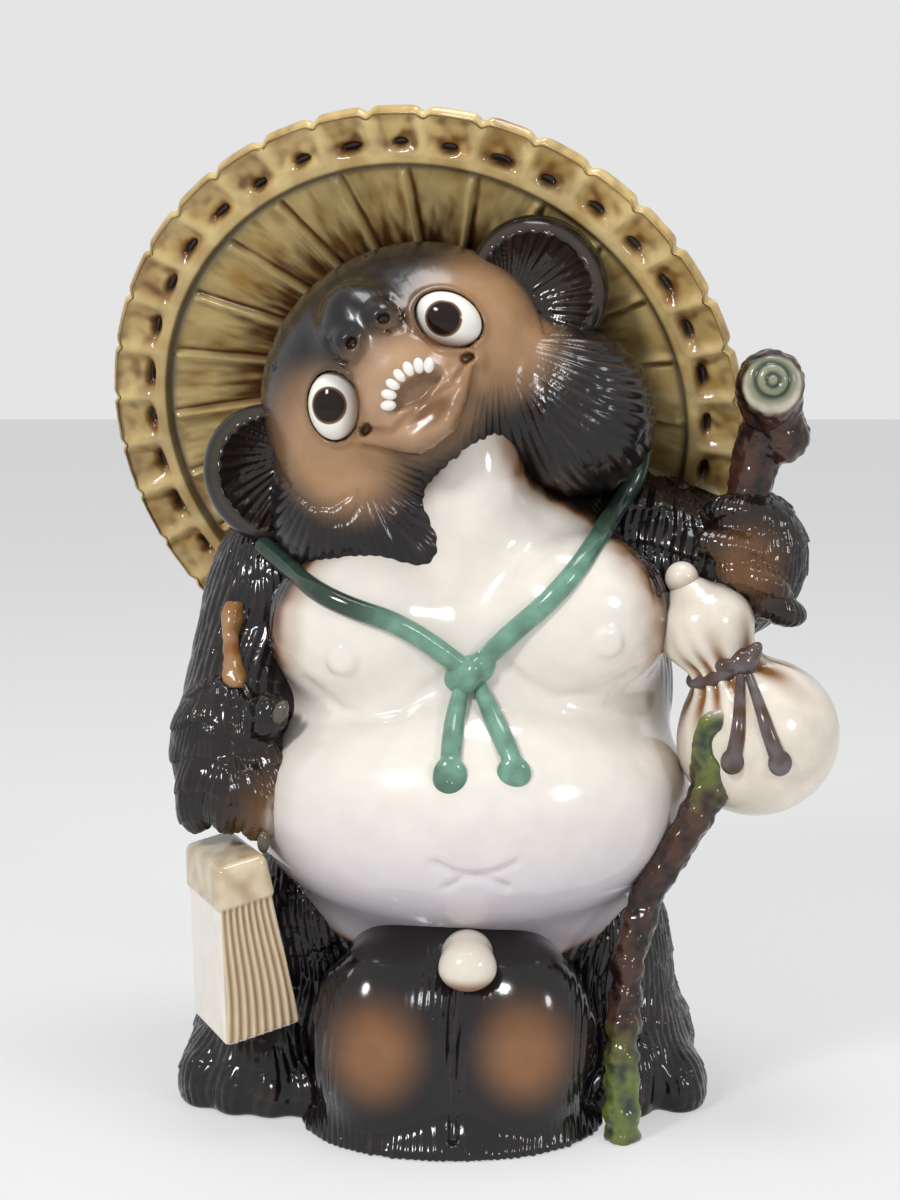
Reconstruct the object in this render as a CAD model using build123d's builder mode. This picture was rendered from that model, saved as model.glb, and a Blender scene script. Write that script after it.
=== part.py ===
"""Glazed stoneware raccoon-dog statue in a straw hat, with a gourd, a staff and an account book.

The figure faces -Y and stands on Z = 0, so its own left side is at +X. Every piece is a clay casting or a
sprig. Where two pieces are luted together, the later one is cut back from the earlier one by a line of slip.
"""

import os
from math import cos, radians, sin

from build123d import *

# Clay
WALL = 6.0  # wall of the hollow castings
SLIP_GAP = 0.3  # line of slip between two luted pieces

# Torso: height and full sizes of its oval rings, from the foot rim up to the neck
FOOT_WIDTH = 120.0
FOOT_DEPTH = 108.0
KNEE_HEIGHT = 30.0
KNEE_WIDTH = 110.0
KNEE_DEPTH = 100.0
HIP_HEIGHT = 62.0
HIP_WIDTH = 120.0
HIP_DEPTH = 108.0
WAIST_HEIGHT = 85.0
WAIST_WIDTH = 142.0
WAIST_DEPTH = 124.0
BELLY_HEIGHT = 112.0
BELLY_WIDTH = 156.0
BELLY_DEPTH = 136.0
RIB_HEIGHT = 145.0
RIB_WIDTH = 150.0
RIB_DEPTH = 124.0
CHEST_HEIGHT = 175.0
CHEST_WIDTH = 142.0
CHEST_DEPTH = 110.0
SHOULDER_HEIGHT = 203.0
SHOULDER_WIDTH = 132.0
SHOULDER_DEPTH = 94.0
COLLAR_HEIGHT = 226.0
COLLAR_WIDTH = 100.0
COLLAR_DEPTH = 76.0
NECK_HEIGHT = 243.0
NECK_WIDTH = 68.0
NECK_DEPTH = 56.0
NECK_BORE = 30.0  # way from the hollow of the body up into the hollow of the head
FOOT_BACK = 8.0  # how far the foot, waist and neck stand behind the middle
WAIST_BACK = 2.0
NECK_BACK = 10.0

# Round belly, breasts and throat, on the torso
PAUNCH_WIDTH = 154.0
PAUNCH_GIRTH = 108.0
PAUNCH_FORWARD = 30.0
BREAST_WIDTH = 68.0
BREAST_GIRTH = 60.0
BREAST_FORWARD = 34.0
LEFT_BREAST_OUT = 36.0
RIGHT_BREAST_OUT = 35.0
LEFT_BREAST_RISE = 6.0
RIGHT_BREAST_RISE = 2.0
THROAT_HEIGHT = 72.0
THROAT_GIRTH = 54.0
THROAT_FORWARD = 14.0
THROAT_OUT = 8.0
NIPPLE_OUT = 10.0  # nipple from the middle of its breast
NIPPLE_SIZE = 9.0
NIPPLE_PROUD = 1.6
NIPPLE_DROP = 6.0

# Head: rolled to its own right, with its lumps placed in its own frame
HEAD_ROLL = 35.0
HEAD_OUT = -23.0
HEAD_FORWARD = 10.0
HEAD_RISE = 19.0  # middle of the skull above the top of the neck
SKULL_GIRTH = 104.0
SKULL_HEIGHT = 90.0
CHEEK_GIRTH = 58.0
CHEEK_DEPTH = 66.0
CHEEK_OUT = 43.0
LEFT_CHEEK_DROP = 42.0
RIGHT_CHEEK_DROP = 28.0
CHEEK_FORWARD = 8.0
MUZZLE_GIRTH = 44.0
MUZZLE_DEPTH = 46.0
MUZZLE_FORWARD = 40.0
BROW_GIRTH = 28.0
BROW_HEIGHT = 46.0
BROW_FORWARD = 39.0
NOSTRIL_SIZE = 13.0
NOSTRIL_OUT = 6.0
NOSTRIL_RISE = 20.0
NOSTRIL_FORWARD = 54.0
NOSTRIL_PIT = 5.0
CHIN_GIRTH = 18.0
CHIN_WIDTH = 32.0
CHIN_DROP = 15.0
CHIN_FORWARD = 50.0
MOUTH_WIDTH = 34.0
MOUTH_GIRTH = 13.0
MOUTH_DROP = 6.0
EYE_GIRTH = 19.0
EYE_HEIGHT = 25.0
EYE_OUT = 24.5
EYE_RISE = 8.0
EYE_SLANT = 30.0
EYE_SINK = 5.0  # middle of the eyeball behind the face
TOOTH_COUNT = 6
TOOTH_GIRTH = 4.6
TOOTH_HEIGHT = 9.0
TOOTH_ARCH = 12.6
TOOTH_PITCH = 16.0
TOOTH_DROP = 8.6
TOOTH_FORWARD = 60.5
EAR_GIRTH = 50.0
EAR_THICKNESS = 22.0
EAR_OUT = 58.0
EAR_FORWARD = 7.0
EAR_SEAM = 45.0  # degrees that the seam of an ear is turned, away from its outer edge
EAR_RIM = 6.0
HAT_PAD = 28.0  # clay pad at the back of the head that carries the hat, let into its crown
HAT_PAD_SEAT = 2.0  # how far the pad is let into the hat

# Straw hat, hung at the back of the head
HAT_RADIUS = 119.0
HAT_DEPTH = 38.0
HAT_CROWN = 30.0  # small round flat at the tip of the cone
HAT_THICKNESS = 7.0
HAT_TILT = 20.0
HAT_TURN = 12.0
HAT_OUT = 3.2  # middle of the hat from the middle of the skull
HAT_BACK = 34.0
HAT_DROP = 17.0
HAT_RIM = 21.0  # width of the rim band
HAT_RIM_PROUD = 3.0
HAT_GROOVE = 3.0
HAT_SCOOPS = 36
HAT_SCOOP_SIZE = 15.0
HAT_SCOOP_DEEP = 2.5
HAT_PIT_SIZE = 6.0  # pit at the inner end of each scoop
HAT_PIT_DEEP = 2.5
HAT_PIT_IN = 15.0  # pit from the edge
HAT_NOTCH_SIZE = 6.0  # notch in the edge between two scoops
HAT_NOTCH_DEEP = 1.6
HAT_RIBS = 24
HAT_RIB_WIDTH = 2.0
HAT_RIB_PROUD = 1.5
HAT_RIB_START = 40.0

# Limbs: the arms run from inside the shoulders to the paws
LEFT_ARM = [(48, 10, 206), (72, 4, 197), (90, -8, 191), (100, -20, 198)]
RIGHT_ARM = [(-48, 10, 206), (-68, 2, 188), (-75, -6, 160), (-85, -30, 135)]
SHOULDER_THICKNESS = 48.0
ELBOW_THICKNESS = 46.0
WRIST_THICKNESS = 36.0
PAW_LENGTH = 46.0
PAW_GIRTH = 40.0
FINGER_LENGTH = 22.0
FINGER_GIRTH = 14.0
LEFT_FINGERS = [(-12, -15, 8), (-1, -18, 5), (10, -16, 2)]  # from the middle of the paw
RIGHT_FINGERS = [(-12, -17, -9), (-2, -20, -13), (9, -19, -12)]
TOE_LENGTH = 28.0
TOE_GIRTH = 19.0
TOES_OUT = [-15, 0, 15]  # from the middle of the foot
TOE_FORWARD = 36.0
FOOT_LENGTH = 100.0
LEFT_FOOT_GIRTH = 54.0
RIGHT_FOOT_GIRTH = 62.0
LEFT_FOOT_OUT = 58.0
RIGHT_FOOT_OUT = 73.0
FEET_BACK = 2.0
FOOT_RISE = 14.0
SHANK_HEIGHT = 96.0
SHANK_GIRTH = 62.0
SHANK_IN = 13.0
SHANK_FORWARD = 6.0
TAIL_HEIGHT = 96.0
TAIL_GIRTH = 46.0
TAIL_OUT = 18.0
TAIL_BACK = 62.0
TAIL_RISE = 36.0

# Money sack in front of the legs, and the stub above it
SACK_HEIGHT = 76.0
SACK_WIDTH = 96.0
SACK_DEPTH = 76.0
SACK_HEM = 104.0
SACK_TOP = 72.0
SACK_OUT = -6.0
SACK_FORWARD = 46.0
LOBE_HEIGHT = 66.0
LOBE_GIRTH = 46.0
LOBE_OUT = 24.0
LOBE_FORWARD = 64.0
LOBE_RISE = 38.0
STUB_LENGTH = 28.0
STUB_GIRTH = 17.0
STUB_OUT = -1.0
STUB_FORWARD = 73.0
STUB_DROP = 10.0

# Staff, a gnarled branch from the floor up past the left paw
STAFF_THICKNESS = 12.5
STAFF_KNOT = 18.0
STAFF_END = 24.0
STAFF_ROUTE = [
    (53, -68, 0),
    (53, -67, 30),
    (55, -58, 60),
    (62, -50, 84),
    (74, -52, 104),
    (83, -53, 120),
    (87, -48, 138),
    (89, -37, 164),
    (93, -28, 188),
    (97, -25, 212),
    (102, -22, 236),
    (106, -22, 250),
    (103, -36, 263),
]
STAFF_KNOT_AT = 6  # the place along the route that has the big knot
KNOT_HOLE = 9.0
RING_PITCH = 3.0  # growth rings cut into the sawn end
RINGS = (3, 1)
RING_DEEP = 0.8

# Gourd on its cord
GOURD_LOW = 58.0
GOURD_UP = 32.0
GOURD_WAIST = 18.0
GOURD_HEIGHT = 88.0
GOURD_LOW_AT = 28.0
GOURD_WAIST_AT = 56.0
GOURD_UP_AT = 72.0
GOURD_FOOT = 16.0
GOURD_MOUTH = 13.0
GOURD_LEAN = 26.0
GOURD_OUT = 102.0
GOURD_FORWARD = 38.0
GOURD_RISE = 137.5
STOPPER_SIZE = 12.0
STOPPER_LENGTH = 12.0
GOURD_CORD = 4.5
GOURD_KNOT = 9.0
GOURD_TAIL = 5.0
GOURD_TAIL_DROP = 26.0
GOURD_TAIL_SPREAD = 4.0
GOURD_TAIL_FLARE = 1.5
GOURD_KNOT_TURN = -50.0  # where round the waist the knot is tied

# Account book under the right paw
BOOK_THICKNESS = 21.0
BOOK_WIDTH = 40.0
BOOK_HEIGHT = 62.0
BOOK_BAND = 16.0
BOOK_BAND_PROUD = 1.2
BOOK_TURN = 22.0
BOOK_LEAN = 12.0
BOOK_OUT = -82.0
BOOK_FORWARD = 48.0
BOOK_RISE = 68.0

# Hat cord and the twig, applied on the chest and the right arm
CORD_THICKNESS = 7.5
CORD_TAPER = 2.0  # thinner where a cord tail leaves its knot
CORD_PROUD = 1.5  # middle of the cord in front of the clay that it is pressed on
KNOT_WIDTH = 17.0
KNOT_GIRTH = 13.0
KNOT_RISE = 164.5
TAIL_END_LENGTH = 15.0
TAIL_END_GIRTH = 11.0
TAIL_DROP = 28.0
LEFT_CORD_TOP = [(64, 2, 246), (62, -9, 231)]  # beside the cheek, before it lies on the chest
LEFT_CORD = [(51, 216), (42, 206), (33, 196), (24, 187), (15, 179), (4, KNOT_RISE + 3)]  # X and Z
RIGHT_CORD = [(-72, 204), (-63, 198), (-53, 193), (-40, 188), (-27, 184), (-14, 176), (-4, KNOT_RISE + 3)]
LEFT_TAIL = [(3.5, KNOT_RISE - 4), (9.5, KNOT_RISE - 15), (14.5, KNOT_RISE - TAIL_DROP)]
RIGHT_TAIL = [(-4, KNOT_RISE - 4), (-6, KNOT_RISE - 16), (-7, KNOT_RISE - TAIL_DROP)]
TWIG_THICKNESS = 8.0
TWIG_MIDDLE = 6.0
TWIG_LENGTH = 26.0
TWIG_RISE = 183.0
TWIG_OUT = -84.0

REACH = 500.0  # well clear of the whole figure
POLE = 4.0  # degrees of small flat at each end of an egg
SEAM = 37.0  # degrees that an egg's seam is turned, away from where eggs meet
LIE = {"X": (0, 90, 0), "Y": (90, 0, 0), "Z": (0, 0, 0)}


def egg(middle, along, length, girth, grow=0.0, frame=Location(), turn=0.0):
    """A solid egg lying along X, Y or Z of a frame, turned about Y, its skin moved out by grow."""
    with BuildPart(mode=Mode.PRIVATE) as form:
        with BuildSketch(Plane.XZ):
            with BuildLine():
                half_girth = girth / 2 + grow
                half_length = length / 2 + grow
                sweep = 180 - 2 * POLE
                start = POLE - 90
                skin = EllipticalCenterArc((0, 0), half_girth, half_length, start_angle=start, arc_size=sweep)
                tip = (skin @ 1).Y
                Polyline(skin @ 1, (0, tip), (0, -tip), skin @ 0)
            make_face()
        revolve(axis=Axis.Z)
    place = frame * Location(middle, (0, turn, 0)) * Location((0, 0, 0), LIE[along])
    return form.part.moved(place * Location((0, 0, 0), (0, 0, SEAM)))


def fuse(*shapes):
    """One solid from several that run into each other."""
    with BuildPart(mode=Mode.PRIVATE) as form:
        for shape in shapes:
            add(shape)
    return form.part


def limb(places, thicknesses, grow=0.0):
    """A round limb through places, cut square to its run at both ends."""
    points = [Vector(*place) for place in places]
    with BuildPart(mode=Mode.PRIVATE) as form:
        for index, point in enumerate(points):
            before = points[max(index - 1, 0)]
            after = points[min(index + 1, len(points) - 1)]
            with BuildSketch(Plane(origin=point, z_dir=after - before)):
                Circle(thicknesses[index] / 2 + grow)
        loft()
    return form.part


def front_of(shape, across, height):
    """The point where a look along +Y first meets a shape."""
    hits = shape.find_intersection_points(Axis((across, -REACH, height), (0, 1, 0)))
    return min((hit[0] for hit in hits), key=lambda point: point.Y)


def torso_rings(inset=0.0, drop=0.0):
    """The oval rings of the torso as a smooth upright solid, inset and lowered for the hollow."""
    rings = [
        (0.0, FOOT_WIDTH, FOOT_DEPTH, FOOT_BACK),
        (KNEE_HEIGHT, KNEE_WIDTH, KNEE_DEPTH, FOOT_BACK),
        (HIP_HEIGHT, HIP_WIDTH, HIP_DEPTH, FOOT_BACK),
        (WAIST_HEIGHT, WAIST_WIDTH, WAIST_DEPTH, WAIST_BACK),
        (BELLY_HEIGHT, BELLY_WIDTH, BELLY_DEPTH, -WAIST_BACK),
        (RIB_HEIGHT, RIB_WIDTH, RIB_DEPTH, 0.0),
        (CHEST_HEIGHT, CHEST_WIDTH, CHEST_DEPTH, WAIST_BACK),
        (SHOULDER_HEIGHT, SHOULDER_WIDTH, SHOULDER_DEPTH, NECK_BACK),
        (COLLAR_HEIGHT, COLLAR_WIDTH, COLLAR_DEPTH, NECK_BACK),
        (NECK_HEIGHT, NECK_WIDTH, NECK_DEPTH, NECK_BACK),
    ]
    with BuildPart(mode=Mode.PRIVATE) as form:
        for height, width, depth, back in rings:
            with BuildSketch(Plane.XY.offset(height - drop)):
                with Locations((0, back)):
                    Ellipse(width / 2 - inset, depth / 2 - inset)
        loft()
    return form.part


def paunch(grow=0.0):
    """The round belly."""
    return egg((0, -PAUNCH_FORWARD, BELLY_HEIGHT), "X", PAUNCH_WIDTH, PAUNCH_GIRTH, grow)


def torso_form(grow=0.0):
    """The outer skin of the body as a solid."""
    left_breast = (LEFT_BREAST_OUT, -BREAST_FORWARD, CHEST_HEIGHT + LEFT_BREAST_RISE)
    right_breast = (-RIGHT_BREAST_OUT, -BREAST_FORWARD, CHEST_HEIGHT + RIGHT_BREAST_RISE)
    throat = (THROAT_OUT, -THROAT_FORWARD, (SHOULDER_HEIGHT + COLLAR_HEIGHT) / 2)
    return fuse(
        torso_rings(-grow),
        paunch(grow),
        egg(left_breast, "X", BREAST_WIDTH, BREAST_GIRTH, grow),
        egg(right_breast, "X", BREAST_WIDTH, BREAST_GIRTH, grow),
        egg(throat, "Z", THROAT_HEIGHT, THROAT_GIRTH, grow),
    )


# The head's own frame: X to its left, Z up over the crown, the face towards -Y
HEAD = Location((HEAD_OUT, -HEAD_FORWARD, NECK_HEIGHT + HEAD_RISE), (0, -HEAD_ROLL, 0))

# The hat's own frame: Z out through the tip of its cone
turn = radians(HAT_TURN)
tilt = radians(HAT_TILT)
HAT = Plane(
    origin=HEAD.position + Vector(HAT_OUT, HAT_BACK, -HAT_DROP),
    x_dir=(cos(turn), -sin(turn), 0),
    z_dir=(sin(turn) * cos(tilt), cos(turn) * cos(tilt), sin(tilt)),
)


def skull(grow=0.0):
    """The round of the head."""
    return egg((0, 0, 0), "Z", SKULL_HEIGHT, SKULL_GIRTH, grow, HEAD)


def cheek(side, grow=0.0):
    """One of the two cheeks."""
    drop = LEFT_CHEEK_DROP if side > 0 else RIGHT_CHEEK_DROP
    return egg((side * CHEEK_OUT, -CHEEK_FORWARD, -drop), "Y", CHEEK_DEPTH, CHEEK_GIRTH, grow, HEAD)


def hat_pad(grow=0.0):
    """The pad of clay behind the skull that is let into the crown of the hat."""
    tip = HAT.origin + HAT.z_dir * (HAT_DEPTH + HAT_PAD_SEAT + grow)
    return limb([HEAD.position, tip], [SKULL_HEIGHT - 2 * WALL, HAT_PAD], grow)


def head_form(grow=0.0):
    """The outer skin of the head as a solid, without its small features."""
    lumps = [skull(grow), cheek(1, grow), cheek(-1, grow)]
    lumps.append(egg((0, -MUZZLE_FORWARD, 0), "Y", MUZZLE_DEPTH, MUZZLE_GIRTH, grow, HEAD))
    lumps.append(egg((0, -BROW_FORWARD, NOSTRIL_RISE), "Z", BROW_HEIGHT, BROW_GIRTH, grow, HEAD))
    lumps.append(egg((0, -CHIN_FORWARD, -CHIN_DROP), "X", CHIN_WIDTH, CHIN_GIRTH, grow, HEAD))
    for side in (-1, 1):
        nostril = (side * NOSTRIL_OUT, -NOSTRIL_FORWARD, NOSTRIL_RISE)
        lumps.append(egg(nostril, "Y", NOSTRIL_SIZE, NOSTRIL_SIZE, grow, HEAD))
    lumps.append(hat_pad(grow))
    return fuse(*lumps)


def eye_form(side, grow=0.0):
    """An eyeball, its long axis leaning out at the bottom."""
    away = (EYE_OUT / (SKULL_GIRTH / 2)) ** 2 + (EYE_RISE / (SKULL_HEIGHT / 2)) ** 2
    face = SKULL_GIRTH / 2 * (1 - away) ** 0.5
    seat = (side * EYE_OUT, EYE_SINK - face, EYE_RISE)
    return egg(seat, "Z", EYE_HEIGHT, EYE_GIRTH, grow, HEAD, -side * EYE_SLANT)


def teeth_form(grow=0.0):
    """The row of upper teeth along its arch."""
    teeth = []
    for index in range(TOOTH_COUNT):
        angle = radians(90 + (index - (TOOTH_COUNT - 1) / 2) * TOOTH_PITCH)
        place = (TOOTH_ARCH * cos(angle), -TOOTH_FORWARD, TOOTH_ARCH * sin(angle) - TOOTH_DROP)
        teeth.append(egg(place, "Z", TOOTH_HEIGHT, TOOTH_GIRTH, grow, HEAD))
    return fuse(*teeth)


def ear_form(side, grow=0.0, turn=0.0):
    """The outer skin of an ear."""
    return egg((side * EAR_OUT, -EAR_FORWARD, 0), "Y", EAR_THICKNESS, EAR_GIRTH, grow, HEAD, turn)


os.makedirs("parts", exist_ok=True)

torso = torso_form()
torso_clear = torso_form(SLIP_GAP)
head_clear = head_form(SLIP_GAP)

# Body: cast hollow, open underneath, with a bore up into the head
with BuildPart() as body:
    add(torso)
    left_nipple = (LEFT_BREAST_OUT + NIPPLE_OUT, CHEST_HEIGHT + LEFT_BREAST_RISE - NIPPLE_DROP)
    right_nipple = (-RIGHT_BREAST_OUT - NIPPLE_OUT, CHEST_HEIGHT + RIGHT_BREAST_RISE - NIPPLE_DROP)
    for across, height in (left_nipple, right_nipple):
        nipple = front_of(torso, across, height)
        add(egg(nipple, "Y", 2 * NIPPLE_PROUD, NIPPLE_SIZE))
    add(torso_rings(WALL, WALL), mode=Mode.SUBTRACT)
    add(paunch(-WALL), mode=Mode.SUBTRACT)
    with Locations((0, NECK_BACK, NECK_HEIGHT)):
        Cylinder(NECK_BORE / 2, 4 * WALL, mode=Mode.SUBTRACT)
body.part.label = "body"
export_step(body.part, "parts/body.step")

# Head: cast hollow, set down over the neck, with sockets for the eyes and teeth
with BuildPart() as head:
    add(head_form())
    mouth = (0, -MUZZLE_FORWARD - MUZZLE_DEPTH / 2, -MOUTH_DROP)
    add(egg(mouth, "X", MOUTH_WIDTH, MOUTH_GIRTH, 0, HEAD), mode=Mode.SUBTRACT)
    for side in (-1, 1):
        pit = (side * NOSTRIL_OUT, -NOSTRIL_FORWARD - NOSTRIL_SIZE / 2, NOSTRIL_RISE)
        add(egg(pit, "Z", NOSTRIL_PIT, NOSTRIL_PIT, 0, HEAD), mode=Mode.SUBTRACT)
        add(eye_form(side, SLIP_GAP), mode=Mode.SUBTRACT)
    add(teeth_form(SLIP_GAP), mode=Mode.SUBTRACT)
    add(skull(-WALL), mode=Mode.SUBTRACT)
    add(torso_clear, mode=Mode.SUBTRACT)
head.part.label = "head"
export_step(head.part, "parts/head.step")

for side, name in ((1, "left"), (-1, "right")):
    with BuildPart() as eye:
        add(eye_form(side))
        add(skull(-WALL), mode=Mode.SUBTRACT)
    eye.part.label = f"{name}_eye"
    export_step(eye.part, f"parts/{name}_eye.step")

    # Ear: a cupped disc, hollowed from the front inside its rim
    with BuildPart() as ear:
        add(ear_form(side, turn=EAR_SEAM))
        cup = (side * EAR_OUT, -EAR_FORWARD - EAR_THICKNESS / 2, 0)
        add(egg(cup, "Y", EAR_THICKNESS, EAR_GIRTH - 2 * EAR_RIM, 0, HEAD), mode=Mode.SUBTRACT)
        add(skull(SLIP_GAP), mode=Mode.SUBTRACT)
        add(cheek(side, SLIP_GAP), mode=Mode.SUBTRACT)
    ear.part.label = f"{name}_ear"
    export_step(ear.part, f"parts/{name}_ear.step")

with BuildPart() as teeth:
    add(teeth_form())
teeth.part.label = "teeth"
export_step(teeth.part, "parts/teeth.step")

# Arms, from inside the shoulders down to the wrists
ARM_THICKNESSES = [SHOULDER_THICKNESS, SHOULDER_THICKNESS, ELBOW_THICKNESS, WRIST_THICKNESS]


def arm_form(route, grow=0.0):
    """An arm through its places."""
    return limb(route, ARM_THICKNESSES, grow)


def staff_form(grow=0.0):
    """The gnarled branch."""
    thicknesses = [STAFF_THICKNESS] * len(STAFF_ROUTE)
    thicknesses[STAFF_KNOT_AT] = STAFF_KNOT
    thicknesses[-1] = STAFF_END
    thicknesses[-2] = (STAFF_THICKNESS + STAFF_END) / 2
    return limb(STAFF_ROUTE, thicknesses, grow)


def paw_form(route, along, fingers, grow=0.0):
    """A closed paw at the end of an arm, with its curled fingers in front."""
    across, depth, height = route[-1]
    lumps = [egg(route[-1], along, PAW_LENGTH, PAW_GIRTH, grow)]
    for out, ahead, rise in fingers:
        knuckle = (across + out, depth + ahead, height + rise)
        lumps.append(egg(knuckle, "Z", FINGER_LENGTH, FINGER_GIRTH, grow))
    return fuse(*lumps)


def foot_form(side, grow=0.0):
    """A furry foot with its toes and the shank above it."""
    out, girth = (LEFT_FOOT_OUT, LEFT_FOOT_GIRTH) if side > 0 else (RIGHT_FOOT_OUT, RIGHT_FOOT_GIRTH)
    shank = (side * (out - SHANK_IN), -SHANK_FORWARD, HIP_HEIGHT - SHANK_GIRTH / 4)
    lumps = [
        egg((side * out, FEET_BACK, FOOT_RISE), "Y", FOOT_LENGTH, girth, grow),
        egg(shank, "Z", SHANK_HEIGHT, SHANK_GIRTH, grow),
    ]
    for toe_out in TOES_OUT:
        toe = (side * (out + toe_out), FEET_BACK - TOE_FORWARD, FOOT_RISE / 2)
        lumps.append(egg(toe, "Y", TOE_LENGTH, TOE_GIRTH, grow))
    return fuse(*lumps)


def sack_form(grow=0.0):
    """The hanging money sack with its two lobes."""
    rings = [
        (-grow, SACK_HEM),
        (SACK_HEIGHT / 8, SACK_WIDTH),
        (SACK_HEIGHT / 2, SACK_WIDTH),
        (SACK_HEIGHT + grow, SACK_TOP),
    ]
    with BuildPart(mode=Mode.PRIVATE) as form:
        for height, width in rings:
            with BuildSketch(Plane.XY.offset(height)):
                with Locations((SACK_OUT, -SACK_FORWARD)):
                    Ellipse(width / 2 + grow, width / SACK_WIDTH * SACK_DEPTH / 2 + grow)
        loft()
        for side in (-1, 1):
            place = (SACK_OUT + side * LOBE_OUT, -LOBE_FORWARD, LOBE_RISE)
            add(egg(place, "Z", LOBE_HEIGHT, LOBE_GIRTH, grow))
    return form.part


def stub_form(grow=0.0):
    """The short stub between the belly and the sack."""
    place = (STUB_OUT, -STUB_FORWARD, SACK_HEIGHT - STUB_DROP)
    return egg(place, "Y", STUB_LENGTH, STUB_GIRTH, grow)


# What stands on the table is trimmed level with it
table = Location((0, 0, -SACK_HEIGHT)) * Box(REACH, REACH, 2 * SACK_HEIGHT, mode=Mode.PRIVATE)

right_ear_clear = ear_form(-1, SLIP_GAP)
left_arm_clear = arm_form(LEFT_ARM, SLIP_GAP)
right_arm_clear = arm_form(RIGHT_ARM, SLIP_GAP)
left_foot_clear = foot_form(1, SLIP_GAP)
right_foot_clear = foot_form(-1, SLIP_GAP)
staff_clear = staff_form(SLIP_GAP)
left_paw_clear = paw_form(LEFT_ARM, "Z", LEFT_FINGERS, SLIP_GAP)
right_paw_clear = paw_form(RIGHT_ARM, "Y", RIGHT_FINGERS, SLIP_GAP)

# Straw hat: a shallow cone with a scooped rim band, a groove inside it and radial ribs
hat_inner = HAT_RADIUS - HAT_RIM
rib_end = hat_inner - HAT_GROOVE
slope = (HAT_DEPTH - HAT_RIM_PROUD) / (rib_end - HAT_CROWN / 2)
rib_drop = HAT_DEPTH - slope * (HAT_RIB_START - HAT_CROWN / 2)
hat_radial = Plane(HAT.origin, HAT.x_dir, HAT.x_dir.cross(HAT.z_dir))
hat_axis = Axis(HAT.origin, HAT.z_dir)
with BuildPart() as rib:
    with BuildSketch(hat_radial):
        with BuildLine():
            Polyline(
                (HAT_RIB_START, rib_drop - HAT_RIB_PROUD),
                (rib_end, HAT_RIM_PROUD - HAT_RIB_PROUD),
                (rib_end, HAT_RIM_PROUD + HAT_RIB_PROUD),
                (HAT_RIB_START, rib_drop + HAT_RIB_PROUD),
                close=True,
            )
        make_face()
    extrude(amount=HAT_RIB_WIDTH / 2, both=True)

scoop_radius = (HAT_SCOOP_SIZE**2 / 4 + HAT_SCOOP_DEEP**2) / (2 * HAT_SCOOP_DEEP)
scoop_rise = HAT_SCOOP_DEEP - scoop_radius - HAT_RIM_PROUD / 2
pit_rise = HAT_SCOOP_DEEP + HAT_PIT_DEEP - HAT_PIT_SIZE / 2 - HAT_RIM_PROUD / 2
with BuildPart() as scoop:
    with Locations(HAT * Location((HAT_RADIUS - HAT_RIM / 2, 0, scoop_rise))):
        Sphere(scoop_radius)
    with Locations(HAT * Location((HAT_RADIUS - HAT_PIT_IN, 0, pit_rise))):
        Sphere(HAT_PIT_SIZE / 2)
with BuildPart() as notch:
    with Locations(HAT * Location((HAT_RADIUS + HAT_NOTCH_SIZE / 2 - HAT_NOTCH_DEEP, 0, 0))):
        Cylinder(HAT_NOTCH_SIZE / 2, 4 * HAT_THICKNESS)
with BuildPart() as hat:
    with BuildSketch(hat_radial):
        with BuildLine():
            Polyline(
                (0, HAT_DEPTH),
                (HAT_CROWN / 2, HAT_DEPTH),
                (rib_end, HAT_RIM_PROUD),
                (hat_inner, HAT_RIM_PROUD),
                (hat_inner, 0),
                (HAT_RADIUS, -HAT_RIM_PROUD),
                (HAT_RADIUS, HAT_THICKNESS - HAT_RIM_PROUD),
                (hat_inner, HAT_THICKNESS + HAT_RIM_PROUD),
                (HAT_CROWN / 2, HAT_DEPTH + HAT_THICKNESS),
                (0, HAT_DEPTH + HAT_THICKNESS),
                close=True,
            )
        make_face()
    revolve(axis=hat_axis)
    add([rib.part.rotate(hat_axis, 360 / HAT_RIBS * index) for index in range(HAT_RIBS)])
    scoops = [scoop.part.rotate(hat_axis, 360 / HAT_SCOOPS * index) for index in range(HAT_SCOOPS)]
    notches = [notch.part.rotate(hat_axis, 360 / HAT_SCOOPS * (index + 0.5)) for index in range(HAT_SCOOPS)]
    add(scoops + notches, mode=Mode.SUBTRACT)
    for carrier in (torso_clear, hat_pad(SLIP_GAP), left_arm_clear):
        add(carrier, mode=Mode.SUBTRACT)
hat.part.label = "hat"
export_step(hat.part, "parts/hat.step")

with BuildPart() as left_arm:
    add(arm_form(LEFT_ARM))
    for carrier in (torso_clear, head_clear, left_paw_clear, staff_clear):
        add(carrier, mode=Mode.SUBTRACT)
left_arm.part.label = "left_arm"
export_step(left_arm.part, "parts/left_arm.step")

with BuildPart() as right_arm:
    add(arm_form(RIGHT_ARM))
    for carrier in (torso_clear, head_clear, right_ear_clear, right_paw_clear):
        add(carrier, mode=Mode.SUBTRACT)
right_arm.part.label = "right_arm"
export_step(right_arm.part, "parts/right_arm.step")

with BuildPart() as left_paw:
    add(paw_form(LEFT_ARM, "Z", LEFT_FINGERS))
    add(staff_clear, mode=Mode.SUBTRACT)
    add(torso_clear, mode=Mode.SUBTRACT)
left_paw.part.label = "left_paw"
export_step(left_paw.part, "parts/left_paw.step")

with BuildPart() as right_paw:
    add(paw_form(RIGHT_ARM, "Y", RIGHT_FINGERS))
    add(torso_clear, mode=Mode.SUBTRACT)
right_paw.part.label = "right_paw"
export_step(right_paw.part, "parts/right_paw.step")

for side, name in ((1, "left_foot"), (-1, "right_foot")):
    with BuildPart() as foot:
        add(foot_form(side))
        for carrier in (torso_clear, staff_clear, table):
            add(carrier, mode=Mode.SUBTRACT)
    foot.part.label = name
    export_step(foot.part, f"parts/{name}.step")

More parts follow.
